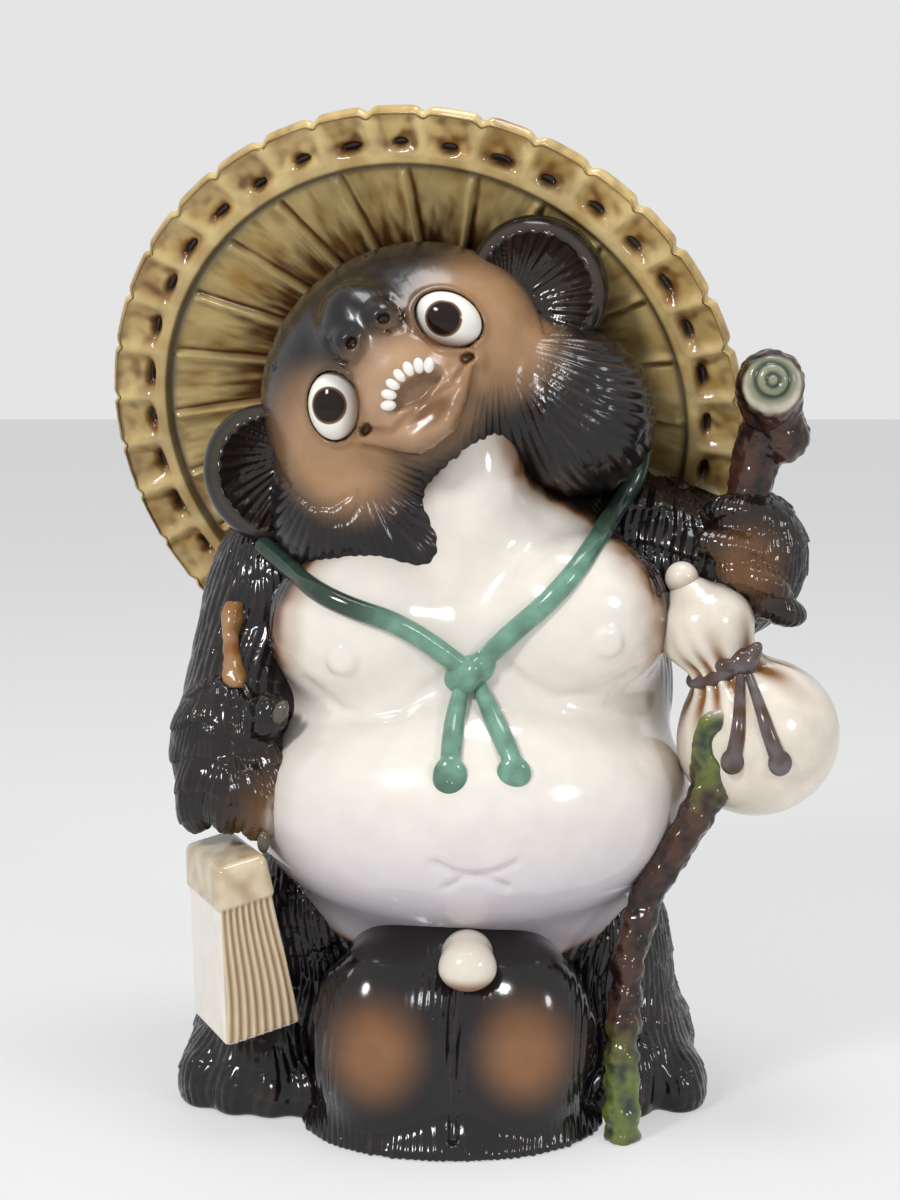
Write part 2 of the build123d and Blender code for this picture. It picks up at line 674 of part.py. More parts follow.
with BuildPart() as tail:
    add(egg((TAIL_OUT, TAIL_BACK, TAIL_RISE), "Z", TAIL_HEIGHT, TAIL_GIRTH))
    add(torso_clear, mode=Mode.SUBTRACT)
    add(table, mode=Mode.SUBTRACT)
tail.part.label = "tail"
export_step(tail.part, "parts/tail.step")

with BuildPart() as money_sack:
    add(sack_form())
    for carrier in (torso_clear, stub_form(SLIP_GAP), left_foot_clear, right_foot_clear, staff_clear):
        add(carrier, mode=Mode.SUBTRACT)
money_sack.part.label = "money_sack"
export_step(money_sack.part, "parts/money_sack.step")

with BuildPart() as stub:
    add(stub_form())
    add(torso_clear, mode=Mode.SUBTRACT)
stub.part.label = "stub"
export_step(stub.part, "parts/stub.step")

with BuildPart() as staff:
    add(staff_form())
    add(torso_clear, mode=Mode.SUBTRACT)
    across, depth, height = STAFF_ROUTE[STAFF_KNOT_AT]
    hole = (across, depth - STAFF_KNOT / 2, height)
    add(egg(hole, "Z", KNOT_HOLE, KNOT_HOLE), mode=Mode.SUBTRACT)
    run = Vector(*STAFF_ROUTE[-1]) - Vector(*STAFF_ROUTE[-2])
    with BuildSketch(Plane(origin=STAFF_ROUTE[-1], z_dir=run)):
        for ring in RINGS:
            Circle((ring + 0.5) * RING_PITCH)
            Circle(ring * RING_PITCH, mode=Mode.SUBTRACT)
    extrude(amount=-RING_DEEP, mode=Mode.SUBTRACT)
staff.part.label = "staff"
export_step(staff.part, "parts/staff.step")

# Gourd: revolved about its leaning axis, with a stopper and a cord tied round its waist
GOURD = Location((GOURD_OUT, -GOURD_FORWARD, GOURD_RISE), (0, -GOURD_LEAN, 0))
GOURD *= Location((0, 0, -GOURD_LOW_AT))


def gourd_form(grow=0.0):
    """The gourd's skin."""
    with BuildPart(mode=Mode.PRIVATE) as form:
        with BuildSketch(Plane.XZ):
            with BuildLine():
                skin = Spline(
                    (GOURD_FOOT / 2 + grow, -grow),
                    (GOURD_LOW / 2 + grow, GOURD_LOW_AT),
                    (GOURD_WAIST / 2 + grow, GOURD_WAIST_AT),
                    (GOURD_UP / 2 + grow, GOURD_UP_AT),
                    (GOURD_MOUTH / 2 + grow, GOURD_HEIGHT + grow),
                    tangents=((1, 0), (-1, 0.4)),
                )
                Polyline(skin @ 1, (0, GOURD_HEIGHT + grow), (0, -grow), skin @ 0)
            make_face()
        revolve(axis=Axis.Z)
    return form.part.moved(GOURD)


gourd_clear = gourd_form(SLIP_GAP)
with BuildPart() as gourd:
    add(gourd_form())
    for carrier in (torso_clear, staff_clear, left_arm_clear, left_paw_clear):
        add(carrier, mode=Mode.SUBTRACT)
gourd.part.label = "gourd"
export_step(gourd.part, "parts/gourd.step")

with BuildPart() as gourd_stopper:
    add(egg((0, 0, GOURD_HEIGHT), "Z", STOPPER_LENGTH, STOPPER_SIZE, 0, GOURD))
    for carrier in (gourd_clear, torso_clear, staff_clear, left_paw_clear):
        add(carrier, mode=Mode.SUBTRACT)
gourd_stopper.part.label = "gourd_stopper"
export_step(gourd_stopper.part, "parts/gourd_stopper.step")

# Account book: a block of pages with a raised binding at its top
BOOK = Location((BOOK_OUT, -BOOK_FORWARD, BOOK_RISE), (0, 0, BOOK_TURN))
BOOK *= Location((0, 0, 0), (0, -BOOK_LEAN, 0))
with BuildPart(mode=Mode.PRIVATE) as book_block:
    Box(BOOK_THICKNESS, BOOK_WIDTH, BOOK_HEIGHT)
    with Locations((0, 0, (BOOK_HEIGHT - BOOK_BAND) / 2)):
        Box(BOOK_THICKNESS + 2 * BOOK_BAND_PROUD, BOOK_WIDTH + 2 * BOOK_BAND_PROUD, BOOK_BAND)
with BuildPart() as account_book:
    add(book_block.part.moved(BOOK))
    for carrier in (torso_clear, right_paw_clear, right_arm_clear, right_foot_clear):
        add(carrier, mode=Mode.SUBTRACT)
account_book.part.label = "account_book"
export_step(account_book.part, "parts/account_book.step")


def seat(carrier, places, proud=0.0):
    """Places just in front of a carrier, from their X and Z."""
    return [tuple(front_of(carrier, across, height) - Vector(0, proud, 0)) for across, height in places]


# Hat cord: two strands from under the cheeks to a knot on the chest, and two tails
knot_place = front_of(torso, 0, KNOT_RISE)
left_side = fuse(torso, arm_form(LEFT_ARM))
right_side = fuse(torso, arm_form(RIGHT_ARM))


def knot_form(grow=0.0):
    """The knot of the hat cord."""
    return egg(knot_place, "X", KNOT_WIDTH, KNOT_GIRTH, grow)


knot_clear = knot_form(SLIP_GAP)
left_route = LEFT_CORD_TOP + seat(left_side, LEFT_CORD, CORD_PROUD)
right_route = seat(right_side, RIGHT_CORD, CORD_PROUD)
for name, route in (("left_cord", left_route), ("right_cord", right_route)):
    with BuildPart() as cord:
        add(limb(route, [CORD_THICKNESS] * len(route)))
        for carrier in (torso_clear, head_clear, left_arm_clear, right_arm_clear, knot_clear):
            add(carrier, mode=Mode.SUBTRACT)
    cord.part.label = name
    export_step(cord.part, f"parts/{name}.step")

with BuildPart() as cord_knot:
    add(knot_form())
    add(torso_clear, mode=Mode.SUBTRACT)
cord_knot.part.label = "cord_knot"
export_step(cord_knot.part, "parts/cord_knot.step")

for name, places in (("left_cord_tail", LEFT_TAIL), ("right_cord_tail", RIGHT_TAIL)):
    route = seat(torso, places, CORD_PROUD)
    with BuildPart() as cord_tail:
        add(limb(route, [CORD_THICKNESS - CORD_TAPER, CORD_THICKNESS, CORD_THICKNESS]))
        add(egg(route[-1], "Z", TAIL_END_LENGTH, TAIL_END_GIRTH))
        add(torso_clear, mode=Mode.SUBTRACT)
        add(knot_clear, mode=Mode.SUBTRACT)
    cord_tail.part.label = name
    export_step(cord_tail.part, f"parts/{name}.step")

# Cord of the gourd: a ring round the waist, a knot at its front and two hanging tails
waist_ring = GOURD_WAIST / 2 + GOURD_CORD / 2 - SLIP_GAP
gourd_whole = gourd_form()
knot_turn = radians(GOURD_KNOT_TURN)
knot_spot = (waist_ring * cos(knot_turn), waist_ring * sin(knot_turn), GOURD_WAIST_AT)
gourd_knot_place = (GOURD * Location(knot_spot)).position


def gourd_cord_form(grow=0.0):
    """The ring of cord with its knot."""
    with BuildPart(mode=Mode.PRIVATE) as form:
        with Locations(GOURD * Location((0, 0, GOURD_WAIST_AT))):
            Torus(waist_ring, GOURD_CORD / 2 + grow)
        add(egg(gourd_knot_place, "X", GOURD_KNOT, GOURD_KNOT, grow))
    return form.part


with BuildPart() as gourd_cord:
    add(gourd_cord_form())
    for carrier in (gourd_clear, torso_clear, staff_clear, left_arm_clear, left_paw_clear):
        add(carrier, mode=Mode.SUBTRACT)
gourd_cord.part.label = "gourd_cord"
export_step(gourd_cord.part, "parts/gourd_cord.step")

gourd_cord_clear = gourd_cord_form(SLIP_GAP)
for name, spread in (("left_gourd_tail", GOURD_TAIL_SPREAD), ("right_gourd_tail", -GOURD_TAIL_SPREAD)):
    across = gourd_knot_place.X
    start = gourd_knot_place.Z - GOURD_KNOT / 4
    places = [
        (across + spread / 2, start),
        (across + spread, start - GOURD_TAIL_DROP / 2),
        (across + 2 * spread, start - GOURD_TAIL_DROP),
    ]
    with BuildPart() as gourd_tail:
        thicknesses = [GOURD_TAIL - GOURD_TAIL_FLARE, GOURD_TAIL, GOURD_TAIL + GOURD_TAIL_FLARE]
        add(limb(seat(gourd_whole, places), thicknesses))
        for carrier in (gourd_clear, gourd_cord_clear, staff_clear):
            add(carrier, mode=Mode.SUBTRACT)
    gourd_tail.part.label = name
    export_step(gourd_tail.part, f"parts/{name}.step")

# Twig pressed on the right arm
twig_places = [(TWIG_OUT, TWIG_RISE - TWIG_LENGTH / 2 * step) for step in range(3)]
twig_route = seat(arm_form(RIGHT_ARM), twig_places)
with BuildPart() as arm_twig:
    add(limb(twig_route, [TWIG_THICKNESS, TWIG_MIDDLE, TWIG_THICKNESS]))
    add(right_arm_clear, mode=Mode.SUBTRACT)
arm_twig.part.label = "arm_twig"
export_step(arm_twig.part, "parts/arm_twig.step")
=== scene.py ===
"""Tanuki statue: a glazed stoneware figure, modelled lump by lump over its CAD frame.

Sizes and places are millimetres in the row frame: the figure faces -Y, and its own left side is at +X.
The head, the hat, the gourd and the book are modelled in frames of their own and then set in place.
"""

from math import cos, pi, radians, sin
from typing import NamedTuple

import bpy
import numpy as np
from bpy.props import FloatProperty, FloatVectorProperty, IntProperty, PointerProperty
from mathutils import Euler, Matrix, Vector, noise


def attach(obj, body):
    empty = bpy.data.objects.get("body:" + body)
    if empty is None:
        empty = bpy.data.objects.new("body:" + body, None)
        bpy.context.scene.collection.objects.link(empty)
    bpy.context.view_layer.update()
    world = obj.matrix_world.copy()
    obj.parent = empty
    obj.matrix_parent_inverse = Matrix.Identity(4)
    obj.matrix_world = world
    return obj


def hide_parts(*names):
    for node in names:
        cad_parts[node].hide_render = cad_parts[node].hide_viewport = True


bl_info = {
    "name": "Tanuki statue",
    "version": (1, 0, 0),
    "blender": (4, 5, 0),
    "location": "3D View > Sidebar > Statue",
    "description": "Models a glazed raccoon-dog statue over its CAD frame",
    "category": "Add Mesh",
}

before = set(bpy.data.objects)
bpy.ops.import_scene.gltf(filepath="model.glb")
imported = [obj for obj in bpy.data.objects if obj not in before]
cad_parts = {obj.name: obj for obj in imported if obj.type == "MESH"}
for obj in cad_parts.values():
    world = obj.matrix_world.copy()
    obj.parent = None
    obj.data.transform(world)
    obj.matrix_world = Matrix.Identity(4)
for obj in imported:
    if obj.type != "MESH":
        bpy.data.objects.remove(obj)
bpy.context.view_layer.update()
MM = 0.001
COARSER = 1.0

# Frames of the rolled head, the hat hung behind it, the leaning gourd and the book
HEAD = Matrix.Translation((-23, -10, 262)) @ Euler((0, radians(-35), 0)).to_matrix().to_4x4()
GOURD = Matrix.Translation((102, -38, 137.5)) @ Euler((0, radians(-26), 0)).to_matrix().to_4x4()
BOOK = Matrix.Translation((-82, -48, 68)) @ Euler((0, radians(-12), radians(22))).to_matrix().to_4x4()
HAT_TURN = radians(12)
HAT_TILT = radians(20)
HAT_PLACE = Vector((-17.5, 24, 245))

# Camera of the photograph
CAMERA_PLACE = Vector((-0.007, -0.85, 0.30))
CAMERA_PITCH = 7.963
CAMERA_LENS = 70.0

# Pressing and smoothing of the lumps
FIRST_ROUNDS = 6
LAST_ROUNDS = 2
PROBE = 0.05
LONGEST_MOVE = 4.0
LEAST_SLOPE = 0.1
FLOOR_EDGE = 2.0
SMOOTHING = 0.5
CHANCES = 4096

# Skin of the glazes
GLAZE_IOR = 1.42
COAT_ROUGHNESS = 0.04
MOTTLE_DETAIL = 4
MOTTLE_FROM = (0.3, 0.7)
SKIN_RIPPLE = 4.0


class Lump(NamedTuple):
    """A ball of clay: middle, three radii, turn in degrees, and how softly it runs into the others."""

    middle: tuple
    radii: tuple
    turn: tuple = (0, 0, 0)
    soft: float = 8.0


def measure(name, default, description):
    """A size in millimetres."""
    return FloatProperty(name=name, description=f"{description}, in millimetres", default=default)


def tally(name, default, description):
    """A count of like forms."""
    return IntProperty(name=name, description=description, default=default)


def colour(name, description, *value):
    """A colour of a glaze."""
    return FloatVectorProperty(
        name=name, description=description, subtype="COLOR", min=0, max=1, default=value
    )


class StatueClay(bpy.types.PropertyGroup):
    """Sizes of the clay work, in millimetres."""

    body_grain: measure("Body grain", 1.42, "Size of the body's facets")
    head_grain: measure("Head grain", 0.86, "Size of the head's facets")
    limb_grain: measure("Limb grain", 0.78, "Size of the facets of arms, paws, feet, sack and gourd")
    small_grain: measure("Small piece grain", 0.5, "Size of the facets of the smaller pieces")
    lock_width: measure("Lock width", 2.3, "Width of a combed lock of fur")
    lock_length: measure("Lock length", 17.0, "Length of a combed lock of fur")
    lock_depth: measure("Lock depth", 1.1, "Depth of the grooves between locks")
    hat_radius: measure("Hat radius", 120.5, "From the hat's middle to its edge")
    hat_depth: measure("Hat depth", 38.0, "From the hat's rim to its crown")
    hat_rim: measure("Rim band width", 21.0, "Width of the scooped band round the rim")
    hat_thickness: measure("Hat thickness", 7.0, "Thickness of the hat's wall")
    hat_scoops: tally("Rim scoops", 36, "Scoops round the rim")
    hat_panels: tally("Straw panels", 24, "Straw panels inside the hat")
    cord_radius: measure("Cord radius", 3.7, "Half the thickness of the hat's cord")


class StatueGlaze(bpy.types.PropertyGroup):
    """Colours of the glazes."""

    cream: colour("Cream", "White of the chest and belly", 0.78, 0.725, 0.65)
    # Lavender is painted shade: the white made cooler and darker down the lower belly
    lavender_shade: colour("Lavender", "Cooler white of the lower belly", 0.62, 0.58, 0.64)
    amber: colour("Amber edge", "Brown where a pale glaze thins", 0.26, 0.11, 0.03)
    black: colour("Fur black", "Fur in the grooves", 0.009, 0.007, 0.008)
    brown: colour("Fur ridge brown", "Fur where the glaze breaks on the locks", 0.075, 0.036, 0.019)
    tan: colour("Face tan", "Sprayed tan of the face", 0.37, 0.21, 0.105)
    rose: colour("Muzzle rose", "Middle of the muzzle", 0.42, 0.26, 0.155)
    russet: colour("Sack russet", "Sprayed spots of the sack", 0.235, 0.105, 0.042)
    ochre: colour("Straw ochre", "Straw in its middle tone", 0.44, 0.27, 0.085)
    # Straw on the ridges of the rim and of the panels is also a painted highlight
    straw: colour("Straw light", "Straw on its high places", 0.64, 0.48, 0.21)
    # Treacle is pooled glaze, and in the panels' cracks and towards the hat's middle it is also painted
    # shade
    treacle: colour("Straw treacle", "Glaze pooled in the straw", 0.15, 0.055, 0.013)
    # Tar is dark glaze, and deep in the hat it is also painted shade from the head
    tar: colour("Straw dark", "Slots, groove and depth of the hat", 0.026, 0.010, 0.006)
    celadon: colour("Celadon", "Hat cord", 0.17, 0.34, 0.25)
    moss: colour("Celadon shade", "Dark of the cord and of the staff's green", 0.035, 0.06, 0.045)
    olive: colour("Olive", "Green of the staff", 0.14, 0.17, 0.035)
    bark: colour("Bark", "Brown of the staff", 0.065, 0.027, 0.017)
    shell: colour("Gourd cream", "Gourd, stub and bare fingers", 0.74, 0.67, 0.57)
    slate: colour("Gourd cord", "Cord round the gourd", 0.13, 0.11, 0.12)
    white: colour("Eye white", "Eyes and teeth", 0.82, 0.81, 0.75)
    paper: colour("Page", "Pages and binding of the book", 0.62, 0.52, 0.36)
    buff: colour("Bare clay", "Unglazed clay underneath", 0.50, 0.42, 0.32)


def clay():
    """The clay sizes of this scene."""
    return bpy.context.scene.statue_clay


def tint(name):
    """A glaze colour of this scene as an array."""
    return np.array(getattr(bpy.context.scene.statue_glaze, name))


def choose(piece):
    """Selects one object alone."""
    bpy.ops.object.select_all(action="DESELECT")
    piece.select_set(True)
    bpy.context.view_layer.objects.active = piece
    return piece


def settle_place(piece):
    """Puts an object's place into its mesh."""
    choose(piece)
    bpy.ops.object.transform_apply(location=True, rotation=True, scale=True)
    return piece


def ball(lump, segments=32, rings=20):
    """A sphere at a lump's place and size."""
    bpy.ops.object.select_all(action="DESELECT")
    bpy.ops.mesh.primitive_uv_sphere_add(
        segments=segments,
        ring_count=rings,
        radius=MM,
        location=Vector(lump.middle) * MM,
        rotation=[radians(angle) for angle in lump.turn],
        scale=lump.radii,
    )
    return settle_place(bpy.context.object)


def join(name, pieces):
    """Several objects made one."""
    bpy.ops.object.select_all(action="DESELECT")
    for piece in pieces:
        piece.select_set(True)
    bpy.context.view_layer.objects.active = pieces[0]
    if len(pieces) > 1:
        bpy.ops.object.join()
    whole = bpy.context.view_layer.objects.active
    whole.name = name
    whole.data.name = name
    return whole


def modify(piece, kind, **settings):
    """Adds a modifier and applies it."""
    choose(piece)
    modifier = piece.modifiers.new(kind.title(), kind)
    for key, value in settings.items():
        setattr(modifier, key, value)
    bpy.ops.object.modifier_apply(modifier=modifier.name)
    return piece


def smooth(piece, rounds):
    """Evens out an object's skin."""
    return modify(piece, "SMOOTH", factor=SMOOTHING, iterations=rounds)


def remesh(piece, grain):
    """One even skin over everything in the object."""
    return modify(piece, "REMESH", mode="VOXEL", voxel_size=grain * COARSER * MM, use_smooth_shade=True)


def points(piece):
    """The places of an object's vertices."""
    flat = np.empty(len(piece.data.vertices) * 3)
    piece.data.vertices.foreach_get("co", flat)
    return flat.reshape(-1, 3) / MM


def set_points(piece, places):
    """Moves an object's vertices."""
    piece.data.vertices.foreach_set("co", (places * MM).ravel())
    piece.data.update()


def normals(piece):
    """The outward directions at an object's vertices."""
    flat = np.empty(len(piece.data.vertices) * 3)
    piece.data.vertices.foreach_get("normal", flat)
    return flat.reshape(-1, 3)


def raise_skin(piece, lift):
    """Moves an object's skin outward, by a height at each vertex."""
    set_points(piece, points(piece) + normals(piece) * lift[:, None])


def ball_distance(places, lump):
    """About how far places are outside a lump."""
    turned = np.array(Euler([radians(angle) for angle in lump.turn]).to_matrix())
    local = (places - np.array(lump.middle)) @ turned
    radii = np.array(lump.radii)
    scaled = np.linalg.norm(local / radii, axis=1)
    slope = np.linalg.norm(local / radii**2, axis=1)
    return scaled * (scaled - 1) / np.maximum(slope, 1e-6)


def run_together(first, second, soft):
    """Two distances joined, with a fillet."""
    share = np.clip(0.5 + 0.5 * (second - first) / soft, 0, 1)
    return second + (first - second) * share - soft * share * (1 - share)


def skin(places, lumps, hollows, floor):
    """About how far places are outside lumps that run together, less the hollows, above the floor."""
    away = ball_distance(places, lumps[0])
    for lump in lumps[1:]:
        away = run_together(away, ball_distance(places, lump), lump.soft)
    for hollow in hollows:
        away = -run_together(-away, ball_distance(places, hollow), hollow.soft)
    if floor:
        away = -run_together(-away, places[:, 2], FLOOR_EDGE)
    return away


def draw_in(piece, lumps, hollows, floor, rounds):
    """Moves the skin of an object onto its running lumps."""
    places = points(piece)
    for _ in range(rounds):
        here = skin(places, lumps, hollows, floor)
        ahead = [skin(places + shift, lumps, hollows, floor) for shift in np.eye(3) * PROBE]
        slope = np.stack([(there - here) / PROBE for there in ahead], axis=1)
        move = here / np.maximum((slope**2).sum(axis=1), LEAST_SLOPE)
        places -= np.clip(move, -LONGEST_MOVE, LONGEST_MOVE)[:, None] * slope
    set_points(piece, places)


def model(name, lumps, grain, hollows=(), floor=False):
    """Lumps of clay pressed together into one piece."""
    piece = remesh(join(name, [ball(lump) for lump in lumps]), grain)
    if floor:
        set_points(piece, np.maximum(points(piece), (-np.inf, -np.inf, 0)))
    draw_in(piece, lumps, hollows, floor, FIRST_ROUNDS)
    smooth(piece, 4)
    draw_in(piece, lumps, hollows, floor, LAST_ROUNDS)
    return piece


def chain(route, radii, soft=6.0, pitch=9.0):
    """Lumps along a route."""
    lumps = []
    for index in range(len(route) - 1):
        start, end = Vector(route[index]), Vector(route[index + 1])
        count = max(1, round((end - start).length / pitch))
        for part in range(count + (index == len(route) - 2)):
            share = part / count
            radius = radii[index] + (radii[index + 1] - radii[index]) * share
            lumps.append(Lump(tuple(start.lerp(end, share)), (radius,) * 3, soft=soft))
    return lumps


def tube(name, route, radii, grain=None):
    """A round strand along a route."""
    data = bpy.data.curves.new(name, "CURVE")
    data.dimensions = "3D"
    data.bevel_depth = MM
    data.bevel_resolution = 6
    data.use_fill_caps = True
    strand = data.splines.new("NURBS")
    strand.points.add(len(route) - 1)
    for point, place, radius in zip(strand.points, route, radii):
        point.co = (*(Vector(place) * MM), 1)
        point.radius = radius
    strand.order_u = 3
    strand.use_endpoint_u = True
    strand.resolution_u = 10
    piece = bpy.data.objects.new(name, data)
    bpy.context.collection.objects.link(piece)
    choose(piece)
    bpy.ops.object.convert(target="MESH")
    piece = bpy.context.object
    if grain:
        remesh(piece, grain)
        smooth(piece, 3)
    return piece


def soft_step(value, start, end):
    """From 0 at start to 1 at end, easing at both."""
    share = np.clip((value - start) / (end - start), 0, 1)
    return share * share * (3 - 2 * share)


def mix(first, second, share):
    """Two colours, or arrays of colours, mixed."""
    share = np.asarray(share)[..., None]
    return first * (1 - share) + second * share


def ripple(places, size, seed=0):
    """Smooth noise from about -1 to 1 at places."""
    shift = Vector((seed * 7.3, seed * 3.1, seed * 5.7))
    return np.array([noise.noise(Vector(place) / size + shift) for place in places])


def comb(across, along, width, length, seed):
    """Locks of combed clay side by side: 0 in the grooves, up to 1 along the locks."""
    chance = np.random.default_rng(seed).random(CHANCES)
    strip = across / width + 0.45 * np.sin(along / length * 2.3 + across / width * 0.31)
    lane = np.floor(strip).astype(int)
    run = along / length + chance[lane % CHANCES]
    lock = np.floor(run).astype(int)
    ridge = 1 - np.abs(2 * (strip - lane) - 1)
    taper = np.sin(pi * (run - lock)) ** 0.35
    strength = 0.55 + 0.45 * chance[(lane * 31 + lock * 17) % CHANCES]
    return np.sqrt(ridge) * taper * strength


def hump(away, width):
    """1 at no distance, falling off smoothly over a width."""
    return np.exp(-((away / width) ** 2))


def line(places, route, width):
    """1 along a line drawn on the front, by X and Z, fading to 0 beside it."""
    flat = places[:, (0, 2)]
    away = np.full(len(places), 1e9)
    for start, end in zip(route, route[1:]):
        start, run = np.array(start), np.subtract(end, start)
        share = np.clip((flat - start) @ run / (run @ run), 0, 1)
        away = np.minimum(away, np.linalg.norm(flat - start - share[:, None] * run, axis=1))
    return hump(away, width)


def spot(places, middle, size):
    """1 at a place, fading to 0 around it."""
    return hump(np.linalg.norm(places - np.array(middle), axis=1), size)


def patch(places, middle, radii, edge):
    """1 inside an oval on the front, by X and Z, and 0 outside, fading over an edge."""
    flat = (places[:, (0, 2)] - np.array(middle)) / np.array(radii)
    return 1 - soft_step(np.linalg.norm(flat, axis=1), 1 - edge / 2, 1 + edge / 2)


def oval(places, lump):
    """0 in the middle of a lump's outline as seen from the front, 1 along it."""
    turned = np.array(Euler([radians(angle) for angle in lump.turn]).to_matrix())
    local = (places - np.array(lump.middle)) @ turned
    return np.hypot(local[:, 0] / lump.radii[0], local[:, 2] / lump.radii[2])


def paint(piece, colours):
    """Stores a colour at each vertex."""
    layer = piece.data.color_attributes.new("glaze", "FLOAT_COLOR", "POINT")
    flat = np.ones((len(piece.data.vertices), 4))
    flat[:, :3] = np.clip(colours, 0, 1)
    layer.data.foreach_set("color", flat.ravel())


def fur_colours(height):
    """Black in the grooves and brown where the glaze breaks on the locks."""
    return mix(tint("black"), tint("brown"), np.clip(height - 0.55, 0, 1))


def glaze(name, roughness=0.14, mottle=0.16, mottle_size=9.0, ripples=0.05, coat=0.15):
    """A glassy glaze over the painted colours, a little uneven in depth and in its skin."""
    painted_name = f"painted_{name}"
    if painted_name in bpy.data.materials:
        return bpy.data.materials[painted_name]
    material = bpy.data.materials.new(painted_name)
    material.use_nodes = True
    nodes, links = material.node_tree.nodes, material.node_tree.links
    shader = nodes["Principled BSDF"]
    shader.inputs["Roughness"].default_value = roughness
    shader.inputs["IOR"].default_value = GLAZE_IOR
    shader.inputs["Coat Weight"].default_value = coat
    shader.inputs["Coat Roughness"].default_value = COAT_ROUGHNESS
    painted = nodes.new("ShaderNodeAttribute")
    painted.attribute_name = "glaze"
    place = nodes.new("ShaderNodeTexCoord")
    depth = nodes.new("ShaderNodeTexNoise")
    depth.inputs["Scale"].default_value = 1 / (mottle_size * MM)
    depth.inputs["Detail"].default_value = MOTTLE_DETAIL
    shade = nodes.new("ShaderNodeMapRange")
    shade.inputs["From Min"].default_value = MOTTLE_FROM[0]
    shade.inputs["From Max"].default_value = MOTTLE_FROM[1]
    shade.inputs["To Min"].default_value = 1 - mottle
    shade.inputs["To Max"].default_value = 1 + mottle / 2
    product = nodes.new("ShaderNodeVectorMath")
    product.operation = "SCALE"
    skin_noise = nodes.new("ShaderNodeTexNoise")
    skin_noise.inputs["Scale"].default_value = 1 / (SKIN_RIPPLE * MM)
    bump = nodes.new("ShaderNodeBump")
    bump.inputs["Strength"].default_value = ripples
    bump.inputs["Distance"].default_value = MM
    links.new(place.outputs["Object"], depth.inputs["Vector"])
    links.new(place.outputs["Object"], skin_noise.inputs["Vector"])
    links.new(depth.outputs["Fac"], shade.inputs["Value"])
    links.new(painted.outputs["Color"], product.inputs[0])
    links.new(shade.outputs["Result"], product.inputs["Scale"])
    links.new(product.outputs["Vector"], shader.inputs["Base Color"])
    links.new(skin_noise.outputs["Fac"], bump.inputs["Height"])
    links.new(bump.outputs["Normal"], shader.inputs["Normal"])
    return material


def hand_in(piece, material, slot, *nodes):
    """Gives a finished piece its glaze and its place in the frame."""
    piece.data.materials.clear()
    piece.data.materials.append(material)
    choose(piece)
    bpy.ops.object.shade_smooth()
    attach(piece, "root")
    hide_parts(*nodes)


def set_in(piece, placing):
    """Moves a piece from its own frame into the row frame."""
    scaled = placing.copy()
    scaled.translation = placing.translation * MM
    piece.matrix_world = scaled
    return settle_place(piece)


def front(carriers, across, height):
    """The Y where a look along +Y first meets the carriers."""
    hits = []
    for carrier in carriers:
        met, place, _, _ = carrier.ray_cast(Vector((across * MM, -1, height * MM)), Vector((0, 1, 0)))
        if met:
            hits.append(place.y / MM)
    if not hits:
        raise RuntimeError(f"nothing to seat on at {across}, {height}")
    return min(hits)


def seated(carriers, route, proud):
    """Places on the front of carriers, from their X and Z."""
    return [(across, front(carriers, across, height) - proud, height) for across, height in route]


BODY_LUMPS = [
    Lump((0, 8, 6), (60, 54, 86)),
    Lump((0, 2, 148), (75, 60, 84), soft=14),
    Lump((0, -20, 113), (80, 66, 50), soft=7),
    Lump((36, -33, 180), (36, 31, 31), soft=9),
    Lump((-35, -33, 177), (37, 31, 31), soft=9),
    Lump((0, 10, 203), (66, 46, 32), soft=12),
    Lump((0, -20, 221), (23, 31, 44), soft=10),
    Lump((0, 4, 88), (68, 60, 70), soft=10),
]
BODY_HOLLOW = Lump((0, 6, 30), (54, 47, 110))
NIPPLES = [(47, 175), (-44, 169)]
NAVEL_TOP = [(-12.5, 103.5), (-6, 100), (1.4, 98.9), (9, 100), (15.5, 103.5)]
NAVEL_LOW = [(-8.5, 94), (-3.5, 97.2), (1.4, 98.3), (6.5, 97.2), (12, 94)]
BREAST_CREASES = [
    [(10, 169), (19, 160), (30, 155), (44, 156), (57, 163)],
    [(-57, 160), (-44, 149.5), (-34, 148.5), (-23, 151), (-9, 163)],
]
BIB_HEIGHTS = [52, 60, 66, 74, 92, 110, 130, 150, 165, 185, 200, 207, 214, 221, 231, 255]
BIB_RIGHT = [8, 34, 52, 64, 75, 79, 77, 71, 68, 66, 56, 48, 36, 24, 17, 13]
BIB_LEFT = [8, 34, 52, 64, 75, 79, 77, 71, 68, 66, 58, 52, 42, 29, 17, 11]
BIB_FOOT = 58.0
BODY_GIRTH = 66.0
HOLLOW_EDGE = 0.6
NAVEL_WIDTH = 1.3
NAVEL_DEPTH = 1.3
CREASE_WIDTH = 2.2
CREASE_DEPTH = 0.9
NIPPLE_RADII = (5, 5)
NIPPLE_RISE = 1.6


